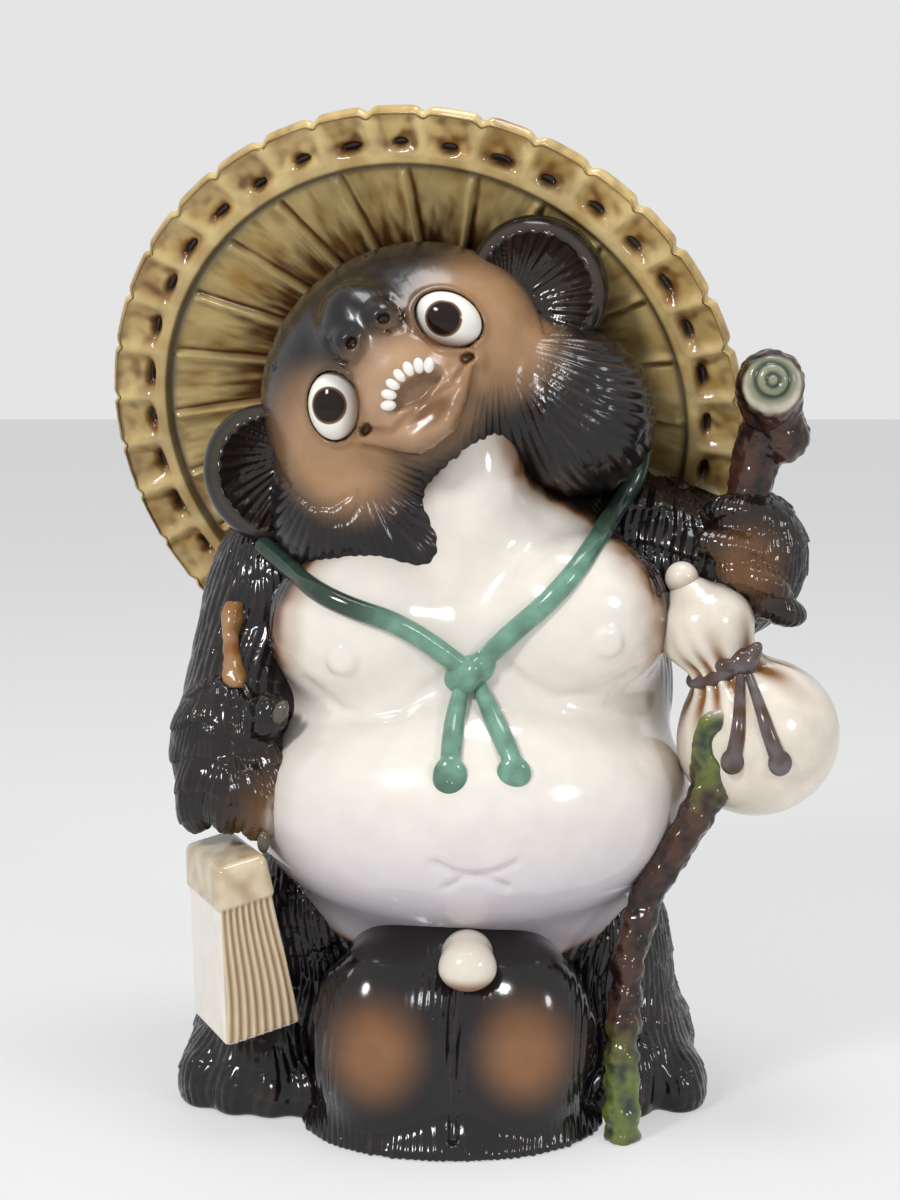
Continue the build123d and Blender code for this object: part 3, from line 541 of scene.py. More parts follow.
class STATUE_OT_body(bpy.types.Operator):
    """Models the torso with its belly, breasts and throat"""

    bl_idname = "statue.body"
    bl_label = "Body"

    def execute(self, context):
        piece = model("glazed_body", BODY_LUMPS, clay().body_grain, floor=True)
        core = ball(BODY_HOLLOW, 64, 40)
        modify(piece, "BOOLEAN", operation="DIFFERENCE", solver="EXACT", object=core)
        bpy.data.objects.remove(core)
        places, out = points(piece), normals(piece)
        across, depth, height = places.T
        right, left = [np.interp(height, BIB_HEIGHTS, halves) for halves in (BIB_RIGHT, BIB_LEFT)]
        inside = np.minimum(right + across, left - across) - soft_step(depth, -8, 12) * 90
        inside = np.minimum(inside, height - BIB_FOOT) + 2.0 * ripple(places, 7)
        furry = soft_step(-inside, -2, 4)
        turn = np.arctan2(across, -depth) * BODY_GIRTH
        locks = comb(turn, height, 2 * clay().lock_width, 2 * clay().lock_length, 3)
        outside = ball_distance(places, BODY_HOLLOW) > HOLLOW_EDGE
        lift = furry * outside * soft_step(height, 1, 6) * (locks - 0.5) * 1.4 * clay().lock_depth
        facing = outside * (out[:, 1] < 0)
        navel = line(places, NAVEL_TOP, NAVEL_WIDTH) + line(places, NAVEL_LOW, NAVEL_WIDTH)
        lift -= facing * navel * NAVEL_DEPTH
        for route in BREAST_CREASES:
            lift -= facing * line(places, route, CREASE_WIDTH) * CREASE_DEPTH
        for side, rise in NIPPLES:
            lift += facing * patch(places, (side, rise), NIPPLE_RADII, 0.5) * NIPPLE_RISE
        raise_skin(piece, lift)
        # Painted shade: the white turns to a cooler, darker lavender down the lower belly
        low = soft_step(height, 135, 80)
        white = mix(tint("cream"), tint("lavender_shade"), 0.9 * low)
        edged = mix(tint("amber"), white, soft_step(inside, -2, 13) ** 0.6)
        edged = mix(tint("amber") * 0.35, edged, soft_step(inside, -2, 3))
        colours = mix(edged, fur_colours(locks), soft_step(-inside, 0, 4))
        bare = np.maximum(ball_distance(places, BODY_HOLLOW) < HOLLOW_EDGE, height < 0.4)
        paint(piece, mix(colours, tint("buff"), bare))
        hand_in(piece, glaze("body_glaze", mottle=0.05, coat=0.5), "body_glaze", "body")
        return {"FINISHED"}


HEAD_LUMPS = [
    Lump((0, 0, 0), (54, 50, 47)),
    Lump((43, -8, -43), (29, 33, 31), soft=10),
    Lump((-43, -8, -29), (29, 33, 32), soft=10),
    Lump((-31, -12, -49), (21, 28, 18), soft=10),
    Lump((-4, 8, -25), (23, 26, 17), soft=8),
    Lump((0, -35, 2), (25, 22, 21), soft=12),
    Lump((0, -37, 20), (13, 14, 20), soft=9),
    Lump((7.5, -47, 23), (6, 7, 6), soft=3),
    Lump((-6, -47, 22.5), (6, 7, 6), soft=3),
    Lump((2, -46, -11), (16, 11, 8), soft=5),
    Lump((23, -41, -5), (6, 7, 6), soft=3),
    Lump((-19, -42, -5), (6, 7, 6), soft=3),
    Lump((2, -46, 5), (15, 9.5, 7), soft=4),
]
LOWER_LIP = [(-17, -45, -6), (-13, -50, -12), (-6, -54, -17), (4, -54, -17), (14, -50, -11), (22, -44, -5)]
LOWER_LIP_RADII = [3.2, 4.2, 5, 5, 4.2, 3.2]
FACE_PITS = [
    Lump((3, 0, -3), (12, 3.0, 5)),
    Lump((8, 0, 22.5), (2.6, 3.5, 2.2), (0, 25, 0)),
    Lump((-5.5, 0, 22), (2.6, 3.5, 2.2), (0, -25, 0)),
    Lump((23.5, 0, -4.5), (3.0, 4, 2.2), (0, 25, 0)),
    Lump((-18.5, 0, -4.5), (3.0, 4, 2.2), (0, -25, 0)),
]
TAN_PATCHES = [((33, 0), (25, 23)), ((-30, -3), (20, 24)), ((2, -3), (24, 21))]
CHEEK_WHORLS = {1: (34, -6), -1: (-30, -4)}
FRECKLES = [(-36, 34), (-31, 38), (-40, 30), (-34, 31), (10, 45), (15, 44), (20, 45), (26, 41)]
EYE_RADII = (8.9, 9.2, 11.8)
EYES = [Lump((25.6, -39.4, 9.6), EYE_RADII, (0, -30, 0)), Lump((-23.2, -40, 8), EYE_RADII, (0, 30, 0))]
EYE_SOCKET = 9.0
EYE_LID = 0.8
FACE_LINES = [
    [(13.5, 27), (14.5, 20), (13.5, 14), (17, 6), (24, 1), (28, -3)],
    [(-12, 27), (-13, 20), (-12, 14), (-15, 6), (-20, 1), (-23, -4)],
    [(-23, -9), (-18, -14), (-12, -20), (-6, -24), (6, -24), (16, -17), (24, -9)],
    [(-1, 21), (-4, 17.5), (-9, 16), (-12, 18)],
    [(3, 21.5), (6, 18), (11, 16.5), (14, 19)],
    [(-17, -6), (-11, -9.5), (3, -7.5), (14, -8.5), (22, -6)],
    [(51, -14), (55, -4), (56, 6), (53, 16)],
    [(-53.5, 10), (-54, -5), (-50, -15.5), (-44, -20), (-37, -20)],
    [(-47, -25), (-42, -27), (-36, -25), (-33, -21)],
]
PAINTED_LINES = 6
FACE_LINE_WIDTH = 1.1
FRECKLE_RADII = (1.0, 1.0)
FRECKLE_DEPTH = 0.8
CROWN_FROM, CROWN_TO = 18, 30
CHEEK_GIRTH = 26.0
TOOTH_ARCH = 12.4
TOOTH_MIDDLE = (3.6, -56.5, -8.2)
TOOTH_RADII = (1.85, 2.2, 2.7)
TOOTH_TURNS = [-60, -43, -26, -9, 8, 25, 41]


class STATUE_OT_head(bpy.types.Operator):
    """Models the head with its muzzle, cheeks and combed fur"""

    bl_idname = "statue.head"
    bl_label = "Head"

    def execute(self, context):
        lip = chain(LOWER_LIP, LOWER_LIP_RADII, soft=3.0, pitch=5.0)
        piece = model("glazed_head", HEAD_LUMPS + lip, clay().head_grain)
        places, out = points(piece), normals(piece)
        across, depth, height = places.T
        ahead = soft_step(-out[:, 1], -0.2, 0.3)
        mask = np.zeros(len(places))
        for middle, radii in TAN_PATCHES:
            mask = np.maximum(mask, patch(places, middle, radii, 0.9))
        stripe = 1 - soft_step(np.abs(across), 2 + (height - 24) * 0.6, 14 + (height - 24) * 0.9)
        crown = soft_step(height, CROWN_FROM, CROWN_TO)
        mask *= (1 - stripe * crown) * ahead
        furry = (1 - mask) * soft_step(height - 0.15 * np.abs(across), 2, -16)
        whorl = np.where((across > 0)[:, None], CHEEK_WHORLS[1], CHEEK_WHORLS[-1])
        side, rise = across - whorl[:, 0], height - whorl[:, 1]
        away = np.hypot(side, rise)
        turn = np.arctan2(side, rise) * CHEEK_GIRTH
        locks = comb(turn, away + 0.25 * depth, clay().lock_width, 1.6 * clay().lock_length, 5)
        brushed = comb(across, height, 0.8 * clay().lock_width, clay().lock_length, 8)
        lift = furry * (locks - 0.5) * 1.3 * clay().lock_depth
        lift += (1 - mask) * crown * (brushed - 0.5) * 0.16 * clay().lock_depth
        for route in FACE_LINES:
            lift -= ahead * line(places, route, FACE_LINE_WIDTH)
        for middle in FRECKLES:
            lift -= ahead * patch(places, middle, FRECKLE_RADII, 1.0) * FRECKLE_DEPTH
        moved = places + out * lift[:, None]
        for eye in EYES:
            ring = oval(places, eye)
            moved[:, 1] += ahead * EYE_SOCKET * (1 - soft_step(ring, 0.98, 1.06))
            moved[:, 1] -= ahead * EYE_LID * hump(ring - 1.15, 0.09)
        # How far each pit is pressed, kept for the painted shade in the mouth, nostrils and mouth corners
        pit_shade = np.zeros(len(places))
        for pit in FACE_PITS:
            inside = ahead * (1 - soft_step(oval(places, pit), 0.6, 1.0))
            moved[:, 1] += inside * pit.radii[1]
            pit_shade = np.maximum(pit_shade, inside * min(1, pit.radii[1] / 4))
        set_points(piece, moved)
        dark = fur_colours(locks * furry)
        face = mix(tint("tan"), tint("rose"), patch(places, (0, 0), (15, 20), 0.9))
        # Painted shade: a dark amber mark in the mouth's recess below the teeth
        face = mix(face, tint("amber") * 0.5, 0.85 * patch(places, (4, -12), (8, 4), 1.0))
        # Painted shade in the mouth, the nostrils and the mouth corners, darker where the pits are deeper
        face = mix(face, tint("amber") * 0.35, 0.85 * pit_shade)
        for eye in EYES:
            shade = hump(oval(places, eye) - 1.05, 0.16)
            face = mix(face, tint("amber") * 0.6, 0.5 * shade)
        for route in FACE_LINES[:PAINTED_LINES]:
            face = mix(face, tint("amber") * 0.7, 0.55 * line(places, route, 1.3))
        paint(piece, mix(dark, face, mask))
        set_in(piece, HEAD)
        hand_in(piece, glaze("face_glaze", roughness=0.24, mottle=0.12, coat=0.08), "face_glaze", "head")
        return {"FINISHED"}


PUPIL_SHIFT = (-1.2, -9.0, 1.5)
PUPIL_RADIUS = 6.4
PUPIL_RING = 1.0
PUPIL_EDGE = 0.4
PUPIL_DARK = (0.012, 0.006, 0.005, 1)
PUPIL_BROWN = (0.20, 0.11, 0.05, 1)
EYE_ROUGHNESS = 0.08
EYE_IOR = 1.35


def eye_glaze(side, middle):
    """White glaze with a dark pupil inside a brown ring, by distance from the pupil's middle."""
    material = bpy.data.materials.new(f"eye_glaze_{side}")
    material.use_nodes = True
    nodes, links = material.node_tree.nodes, material.node_tree.links
    shader = nodes["Principled BSDF"]
    shader.inputs["Roughness"].default_value = EYE_ROUGHNESS
    shader.inputs["IOR"].default_value = EYE_IOR
    place = nodes.new("ShaderNodeTexCoord")
    away = nodes.new("ShaderNodeVectorMath")
    away.operation = "DISTANCE"
    away.inputs[1].default_value = middle * MM
    ramp = nodes.new("ShaderNodeValToRGB")
    reach = 4 * PUPIL_RADIUS * MM
    scaled = nodes.new("ShaderNodeMapRange")
    scaled.inputs["From Max"].default_value = reach
    stops = ramp.color_ramp.elements
    stops[0].position = (PUPIL_RADIUS - PUPIL_RING) * MM / reach
    stops[0].color = PUPIL_DARK
    stops[1].position = PUPIL_RADIUS * MM / reach
    stops[1].color = PUPIL_BROWN
    rim = stops.new((PUPIL_RADIUS + PUPIL_EDGE) * MM / reach)
    rim.color = (*tint("white"), 1)
    links.new(place.outputs["Object"], away.inputs[0])
    links.new(away.outputs["Value"], scaled.inputs["Value"])
    links.new(scaled.outputs["Result"], ramp.inputs["Fac"])
    links.new(ramp.outputs["Color"], shader.inputs["Base Color"])
    return material


class STATUE_OT_face(bpy.types.Operator):
    """Models the eyes and the row of teeth"""

    bl_idname = "statue.face"
    bl_label = "Eyes and teeth"

    def execute(self, context):
        for eye, side in zip(EYES, ("left", "right")):
            piece = join(f"glazed_{side}_eye", [ball(eye, 64, 40)])
            paint(piece, np.tile(tint("white"), (len(piece.data.vertices), 1)))
            set_in(piece, HEAD)
            pupil = HEAD @ (Vector(eye.middle) + Vector(PUPIL_SHIFT))
            hand_in(piece, eye_glaze(side, pupil), "eye_glaze", f"{side}_eye")
        teeth = []
        for turn in TOOTH_TURNS:
            angle = radians(90 - turn)
            middle = Vector(TOOTH_MIDDLE) + TOOTH_ARCH * Vector((cos(angle), 0, sin(angle)))
            tooth = ball(Lump(tuple(middle), TOOTH_RADII, (0, turn, 0)), 20, 14)
            teeth.append(tooth)
        piece = join("glazed_teeth", teeth)
        paint(piece, np.tile(tint("white"), (len(piece.data.vertices), 1)))
        set_in(piece, HEAD)
        hand_in(piece, glaze("tooth_glaze", roughness=0.1, mottle=0.04), "tooth_glaze", "teeth")
        return {"FINISHED"}


EAR_OUT = 58.0
EAR_FORWARD = 7.0
EAR_RADII = (24, 11, 26)
EAR_ROOT = 44
EAR_GIRTH = 22.0
EAR_LOCK = (3.2, 60.0)
EAR_RELIEF = 2.2
EAR_CUP = Lump((56, -22, 0), (21.5, 17, 23.5), soft=1.0)


class STATUE_OT_ears(bpy.types.Operator):
    """Models the cupped ears with combed hair inside"""

    bl_idname = "statue.ears"
    bl_label = "Ears"

    def execute(self, context):
        for side, name in ((1, "left"), (-1, "right")):
            lump = Lump((side * EAR_OUT, -EAR_FORWARD, 0), EAR_RADII)
            cup = EAR_CUP._replace(middle=(side * EAR_CUP.middle[0], *EAR_CUP.middle[1:]))
            piece = model(f"glazed_{name}_ear", [lump], clay().small_grain, [cup])
            places, out = points(piece), normals(piece)
            inner = soft_step(ball_distance(places, cup), 1.5, 0.0)
            apart = places[:, 0] - side * EAR_ROOT
            turn = np.arctan2(places[:, 2], side * apart)
            locks = comb(turn * EAR_GIRTH, np.hypot(places[:, 2], apart), *EAR_LOCK, 11)
            raise_skin(piece, inner * (locks - 0.5) * EAR_RELIEF)
            rim = hump(ball_distance(places, cup) - 2.5, 2) * (out[:, 1] < 0.1)
            paint(piece, fur_colours(locks * inner) + 0.05 * rim[:, None] * tint("straw"))
            set_in(piece, HEAD)
            hand_in(piece, glaze("fur_glaze"), "fur_glaze", f"{name}_ear")
        return {"FINISHED"}


def hat_frame():
    """The hat's own frame, with Z out through the tip of its cone."""
    right = Vector((cos(HAT_TURN), -sin(HAT_TURN), 0))
    tip = Vector((sin(HAT_TURN) * cos(HAT_TILT), cos(HAT_TURN) * cos(HAT_TILT), sin(HAT_TILT)))
    turned = Matrix((right, tip.cross(right), tip)).transposed().to_4x4()
    return Matrix.Translation(HAT_PLACE) @ turned


HAT_CROWN = 15.0
HAT_GROOVE = 2.0
HAT_LIP = 3.0
HAT_STEPS = 768
INNER_STEPS = 52
BAND_STEPS = 22
EDGE_STEPS = 7
OUTER_STEPS = 20
SLOT_IN = 7.0
SLOT_HALF = 4.6
SLOT_WIDE = 2.3
SLOT_DEPTH = 3.2
BOWL_DEPTH = 3.0
NOTCH_DEPTH = 1.7
RIDGE_WIDTH = 1.1
RIDGE_RISE = 1.9
CRACK_SHIFT = 2.3
CRACK_WIDTH = 1.0
CRACK_DEPTH = 1.3
PANEL_LEAN = 2.0


def hat_profile():
    """The section of the hat from the crown inside, round the edge and back to the crown outside."""
    radius, rim, deep = clay().hat_radius, clay().hat_radius - clay().hat_rim, clay().hat_depth
    thick = clay().hat_thickness
    inner = [
        (r, deep + (HAT_LIP - deep) * (r - HAT_CROWN) / (rim - HAT_GROOVE - HAT_CROWN))
        for r in np.linspace(HAT_CROWN, rim - HAT_GROOVE, INNER_STEPS)
    ]
    groove = [(rim - HAT_GROOVE * share, HAT_LIP) for share in (0.7, 0.4, 0.15)]
    band = [(r, -HAT_LIP * (r - rim) / clay().hat_rim) for r in np.linspace(rim, radius - 1, BAND_STEPS)]
    edge = [
        (radius - thick / 2 * (1 - sin(angle)), thick / 2 - HAT_LIP - thick / 2 * cos(angle))
        for angle in np.linspace(radians(20), radians(160), EDGE_STEPS)
    ]
    outer = [
        (r, deep + thick + (thick - HAT_LIP - deep - thick) * (r - HAT_CROWN) / (radius - HAT_CROWN))
        for r in np.linspace(radius - 3, HAT_CROWN, OUTER_STEPS)
    ]
    return [(0.01, deep)] + inner + groove + band + edge + outer + [(0.01, deep + thick)]


class STATUE_OT_hat(bpy.types.Operator):
    """Models the straw hat with its scooped rim band, groove and panels"""

    bl_idname = "statue.hat"
    bl_label = "Hat"

    def execute(self, context):
        profile = [(radius * MM, 0, drop * MM) for radius, drop in hat_profile()]
        data = bpy.data.meshes.new("glazed_hat")
        data.from_pydata(profile, [(i, i + 1) for i in range(len(profile) - 1)], [])
        piece = bpy.data.objects.new("glazed_hat", data)
        context.collection.objects.link(piece)
        merging = {"use_merge_vertices": True, "merge_threshold": 1e-4}
        modify(piece, "SCREW", steps=HAT_STEPS, render_steps=HAT_STEPS, **merging)
        choose(piece)
        bpy.ops.object.mode_set(mode="EDIT")
        bpy.ops.mesh.select_all(action="SELECT")
        bpy.ops.mesh.remove_doubles(threshold=2e-5)
        bpy.ops.mesh.normals_make_consistent(inside=False)
        bpy.ops.object.mode_set(mode="OBJECT")
        self.sculpt(piece)
        set_in(piece, hat_frame())
        hand_in(piece, glaze("hat_glaze", roughness=0.16, mottle=0.2, mottle_size=12.0), "hat_glaze", "hat")
        return {"FINISHED"}

    def sculpt(self, piece):
        """Presses the scoops, slots and panels, and paints the pooled glaze, with painted highlights on the
        ridges and painted shade in the cracks and towards the middle.
        """
        places, out = points(piece), normals(piece)
        radius = np.hypot(places[:, 0], places[:, 1])
        turn = np.arctan2(places[:, 1], places[:, 0]) / (2 * pi)
        rim = clay().hat_radius - clay().hat_rim
        ahead = radius - rim
        under = out[:, 2] < 0.15
        chance = np.random.default_rng(2).random((3, clay().hat_scoops))
        blot, broad = ripple(places, 4.0, 1), ripple(places, 11.0, 2)
        cell = turn * clay().hat_scoops + 0.12 * ripple(places, 30.0, 5)
        number = np.round(cell).astype(int) % clay().hat_scoops
        side = cell - np.round(cell)
        across = side * 2 * pi * radius / clay().hat_scoops
        border = soft_step(2 * np.abs(side), 0.5, 1.0)
        bowl = (1 - border) * soft_step(ahead, 3.5, 7.5) * (1 - 0.6 * soft_step(ahead, 8, clay().hat_rim))
        slot_in = ahead - SLOT_IN - 1.6 * (chance[0][number] - 0.5)
        slot_half = SLOT_HALF * (0.75 + 0.5 * chance[1][number])
        slot_away = np.hypot(across / slot_half, slot_in / SLOT_WIDE)
        slot = 1 - soft_step(slot_away, 0.55, 1.1)
        panel = turn * clay().hat_panels
        lean = panel - np.floor(panel) - 0.5
        seam = np.where(lean > 0, lean - 0.5, lean + 0.5) * 2 * pi * radius / clay().hat_panels
        inner = rim - HAT_GROOVE
        on_panel = soft_step(radius, inner + 0.5, inner - 1.5) * soft_step(radius, 20, 40)
        ridge = hump(seam, RIDGE_WIDTH)
        crack = hump(seam - CRACK_SHIFT, CRACK_WIDTH)
        slant = chance[2][np.floor(panel).astype(int) % clay().hat_scoops]
        angle = 2 * pi * turn
        ring = np.stack([np.cos(angle) * rim / 4, np.sin(angle) * rim / 4, radius / 16], axis=1)
        streak = ripple(ring, 1.0, 3)
        fine = ripple(ring * np.array((1.9, 1.9, 2.8)), 1.0, 4)
        press = BOWL_DEPTH * bowl * (0.8 + 0.4 * chance[1][number]) + SLOT_DEPTH * slot
        press += 0.3 * blot * soft_step(ahead, 0, 3)
        straws = -RIDGE_RISE * ridge + CRACK_DEPTH * crack
        press += on_panel * (straws + PANEL_LEAN * (slant - 0.3) * lean + 0.2 * fine)
        moved = places.copy()
        moved[:, 2] += np.where(under, press, 0.0)
        notch = NOTCH_DEPTH * soft_step(2 * np.abs(side), 0.7, 1.0) * soft_step(ahead, 10, clay().hat_rim)
        moved[:, :2] *= (1 - notch / np.maximum(radius, 1))[:, None]
        set_points(piece, moved)
        # Random tone of the straw, darker in the scoops, and lighter on the cell borders as a painted
        # highlight along the ridges
        tone_share = np.clip(0.3 + 0.9 * broad + 0.35 * bowl - 0.5 * border, 0, 1)
        colours = mix(tint("straw"), tint("ochre"), tone_share)
        halo = hump(slot_away, 1.7)
        pooled = np.clip(bowl * (0.05 + 1.5 * blot) + 0.6 * halo, 0, 0.9)
        colours = mix(colours, tint("treacle"), np.where(ahead > 0, pooled, 0))
        # Darker towards the hat's middle: dark glaze there, with painted shade where the head shades the
        # hat
        inward = soft_step(radius, rim - 8, rim - 40)
        # Glaze pooled in streaks on the panels, with painted shade in the cracks beside the ridges and
        # towards the middle
        pooled = np.clip(-0.1 + 0.6 * streak + 0.5 * fine + 0.9 * crack + 1.1 * inward, 0, 0.95)
        colours = mix(colours, tint("treacle"), on_panel * pooled)
        # Painted highlight along the panel ridges
        colours = mix(colours, tint("straw"), 0.85 * on_panel * ridge)
        # Near-black towards the hat's middle: dark glaze, with painted shade from the head
        colours = mix(colours, tint("tar"), soft_step(radius - 12 * streak, rim - 24, rim - 46))
        gap = hump(radius - rim + HAT_GROOVE / 2, 1.5)
        colours = mix(colours, tint("tar"), np.where(under, np.maximum(slot, 0.9 * gap), 0))
        back = mix(tint("ochre"), tint("treacle"), np.clip(0.4 + 0.8 * broad + 0.5 * streak, 0, 1))
        paint(piece, np.where(under[:, None], colours, back))


LEFT_ARM = [(46, 10, 204), (72, 4, 197), (90, -8, 192), (100, -18, 196)]
RIGHT_ARM = [(-46, 10, 204), (-68, 2, 188), (-75, -6, 160), (-85, -28, 137)]
ARM_RADII = [26, 27, 25, 19]
LEFT_PAW = [
    Lump((101, -22, 200), (20, 19, 24)),
    Lump((91, -38, 205), (13, 7, 6), (0, 14, 0), soft=3),
    Lump((99, -40, 194), (14, 7, 6), (0, 18, 0), soft=3),
    Lump((108, -37, 184), (11, 7, 6), (0, 24, 0), soft=3),
    Lump((97, -30, 216), (15, 8, 7), (0, 10, 0), soft=4),
]
RIGHT_PAW = [
    Lump((-86, -33, 133), (21, 20, 27)),
    Lump((-95, -46, 120), (9, 8, 16), (0, 8, 0), soft=3),
    Lump((-85, -52, 119), (8, 7, 14), soft=3),
    Lump((-75, -51, 116), (7, 7, 14), (0, -8, 0), soft=3),
    Lump((-69, -44, 124), (6, 8, 14), (0, -8, 0), soft=3),
    Lump((-71, -46, 146), (7, 8, 9), (0, 20, 0), soft=3),
]
CLAWS = [Lump((-66, -52, 149), (2.6, 3, 4.5), (0, 25, 0)), Lump((-72, -57, 104), (2.2, 2.4, 4))]
PADS = {"left": ((97, -44, 200), 11.0, 0.0), "right": ((-67, -50, 112), 12.5, 0.8)}
TWIG = [(-84, 184), (-84.5, 180), (-85.5, 172), (-84, 164), (-83, 158), (-82.5, 155)]
TWIG_RADII = [3.0, 4.6, 2.8, 3.2, 4.8, 3.2]
ARM_GIRTH = 34
ARM_TUFTS = {"left": 1.7, "right": 0.3}
PAW_GIRTH = 22
PAW_TUFT = 1.3


def wrap(places, middle, girth):
    """How far round an upright line places are from its front, for combing."""
    return np.arctan2(places[:, 0] - middle[0], middle[1] - places[:, 1]) * girth


def tufts(across, along, width, length, seed):
    """Overlapping tufts in rows, each rising to its hanging tip: from 0 to 1."""
    chance = np.random.default_rng(seed).random(CHANCES)
    level = along / length + 0.25 * np.sin(across / width * 1.3)
    row = np.floor(level).astype(int)
    drop = 1 - (level - row)
    strip = across / width + chance[row % CHANCES]
    lane = np.floor(strip).astype(int)
    round_off = 1 - (2 * (strip - lane) - 1) ** 2
    return np.sqrt(round_off) * drop * (0.5 + 0.5 * chance[(lane * 29 + row * 13) % CHANCES])


def fur(piece, across, along, seed, tuft=0.0):
    """Combs a whole piece, raises its tufts and paints it."""
    places = points(piece)
    locks = comb(across, along, clay().lock_width, clay().lock_length, seed)
    curls = tufts(across, along, 3.6 * clay().lock_width, 0.7 * clay().lock_length, seed)
    lift = (locks - 0.5) * clay().lock_depth + tuft * (curls - 0.35)
    raise_skin(piece, lift * soft_step(places[:, 2], 0.5, 4))
    paint(piece, fur_colours(0.75 * locks + (0.4 * curls if tuft else 0) + 0.25 * ripple(places, 12, seed)))
    return piece


class STATUE_OT_arms(bpy.types.Operator):
    """Models the arms, the closed paws and the twig on the right arm"""

    bl_idname = "statue.arms"
    bl_label = "Arms and paws"

    def execute(self, context):
        for name, route, paw in (("left", LEFT_ARM, LEFT_PAW), ("right", RIGHT_ARM, RIGHT_PAW)):
            arm = model(f"glazed_{name}_arm", chain(route, ARM_RADII), clay().limb_grain)
            places = points(arm)
            elbow = route[2]
            fur(arm, wrap(places, (elbow[0] * 0.8, 20), ARM_GIRTH), places[:, 2], 21, ARM_TUFTS[name])
            hand_in(arm, glaze("fur_glaze"), "fur_glaze", f"{name}_arm")
            fist = model(f"glazed_{name}_paw", paw, clay().limb_grain)
            places = points(fist)
            fur(fist, wrap(places, paw[0].middle, PAW_GIRTH), places[:, 2], 23, PAW_TUFT)
            self.pad(fist, *PADS[name])
            hand_in(fist, glaze("fur_glaze"), "fur_glaze", f"{name}_paw")
        for index, lump in enumerate(CLAWS):
            claw = join(f"glazed_claw_{index}", [ball(lump, 24, 16)])
            paint(claw, np.tile(0.16 * tint("paper"), (len(claw.data.vertices), 1)))
            hand_in(claw, glaze("tooth_glaze"), "tooth_glaze")
        arm = bpy.data.objects["glazed_right_arm"]
        twig = tube("glazed_twig", seated([arm], TWIG, 1.0), TWIG_RADII, clay().small_grain)
        places = points(twig)
        raise_skin(twig, 0.7 * ripple(places, 4, 5))
        paint(twig, mix(tint("tan"), tint("amber"), np.clip(0.5 + ripple(places, 6, 4), 0, 1)))
        hand_in(twig, glaze("staff_glaze"), "staff_glaze", "arm_twig")
        return {"FINISHED"}

    def pad(self, fist, middle, size, pale):
        """The bare fingers of a paw, where the glaze thins to amber and cream."""
        layer = fist.data.color_attributes["glaze"]
        flat = np.empty(len(fist.data.vertices) * 4)
        layer.data.foreach_get("color", flat)
        colours = flat.reshape(-1, 4)
        bare = spot(points(fist), middle, size)
        colours[:, :3] = mix(colours[:, :3], 0.55 * tint("amber"), np.clip(1.4 * bare, 0, 0.85))
        colours[:, :3] = mix(colours[:, :3], tint("shell"), pale * np.clip(2.2 * bare - 1.2, 0, 1))
        layer.data.foreach_set("color", colours.ravel())


LEFT_FOOT = [
    Lump((58, 2, 14), (27, 49, 27)),
    Lump((45, -6, 46), (31, 31, 48), soft=12),
    Lump((43, -34, 7), (10, 14, 13), soft=5),
    Lump((58, -37, 7), (10, 14, 13), soft=5),
    Lump((76, -29, 7), (11, 16, 15), soft=5),
]
RIGHT_FOOT = [
    Lump((-73, 2, 14), (31, 49, 31)),
    Lump((-60, -6, 46), (31, 31, 48), soft=12),
    Lump((-96, -22, 7), (11, 18, 16), soft=5),
    Lump((-84, -34, 7), (10, 14, 13), soft=5),
    Lump((-71, -38, 7), (10, 13, 12), soft=5),
    Lump((-58, -38, 7), (10, 13, 12), soft=5),
]
TAIL = [Lump((18, 62, 36), (23, 23, 48))]
FOOT_GIRTH = 30
FOOT_TUFT = 0.6


class STATUE_OT_feet(bpy.types.Operator):
    """Models the furry feet and the tail"""

    bl_idname = "statue.feet"
    bl_label = "Feet and tail"

    def execute(self, context):
        for name, lumps in (("left_foot", LEFT_FOOT), ("right_foot", RIGHT_FOOT), ("tail", TAIL)):
            piece = model(f"glazed_{name}", lumps, clay().limb_grain, floor=True)
            places = points(piece)
            middle = lumps[0].middle
            away = places[:, 2] - 0.6 * np.hypot(places[:, 0] - middle[0], places[:, 1] - middle[1])
            fur(piece, wrap(places, middle, FOOT_GIRTH), away, 31, FOOT_TUFT)
            hand_in(piece, glaze("fur_glaze"), "fur_glaze", name)
        return {"FINISHED"}


SACK_LUMPS = [
    Lump((-6, -44, 28), (48, 38, 54)),
    Lump((-6, -48, 0), (54, 42, 16), soft=10),
    Lump((-31, -64, 36), (24, 23, 34), soft=9),
    Lump((19, -64, 36), (24, 23, 34), soft=9),
]
SACK_SPOTS = [(-32.5, 36.6), (18.5, 36.6)]
SACK_SPOT_RADII = (13, 15)
SACK_SPOT_EDGE = 1.4
SACK_CLEFT = [(-6, 66), (-6, 40), (-6, 8)]
SACK_SEAMS = [[(-46, 70), (-53, 48), (-52, 14)], [(38, 68), (43, 48), (44, 14)]]
CLEFT_WIDTH = 2.0
CLEFT_DEPTH = 2.0
SEAM_WIDTH = 1.3
SEAM_RISE = 1.2
STUB_LUMPS = [Lump((-1, -68, 67), (9, 14, 8)), Lump((-1, -78, 65), (10, 8, 8), soft=4)]


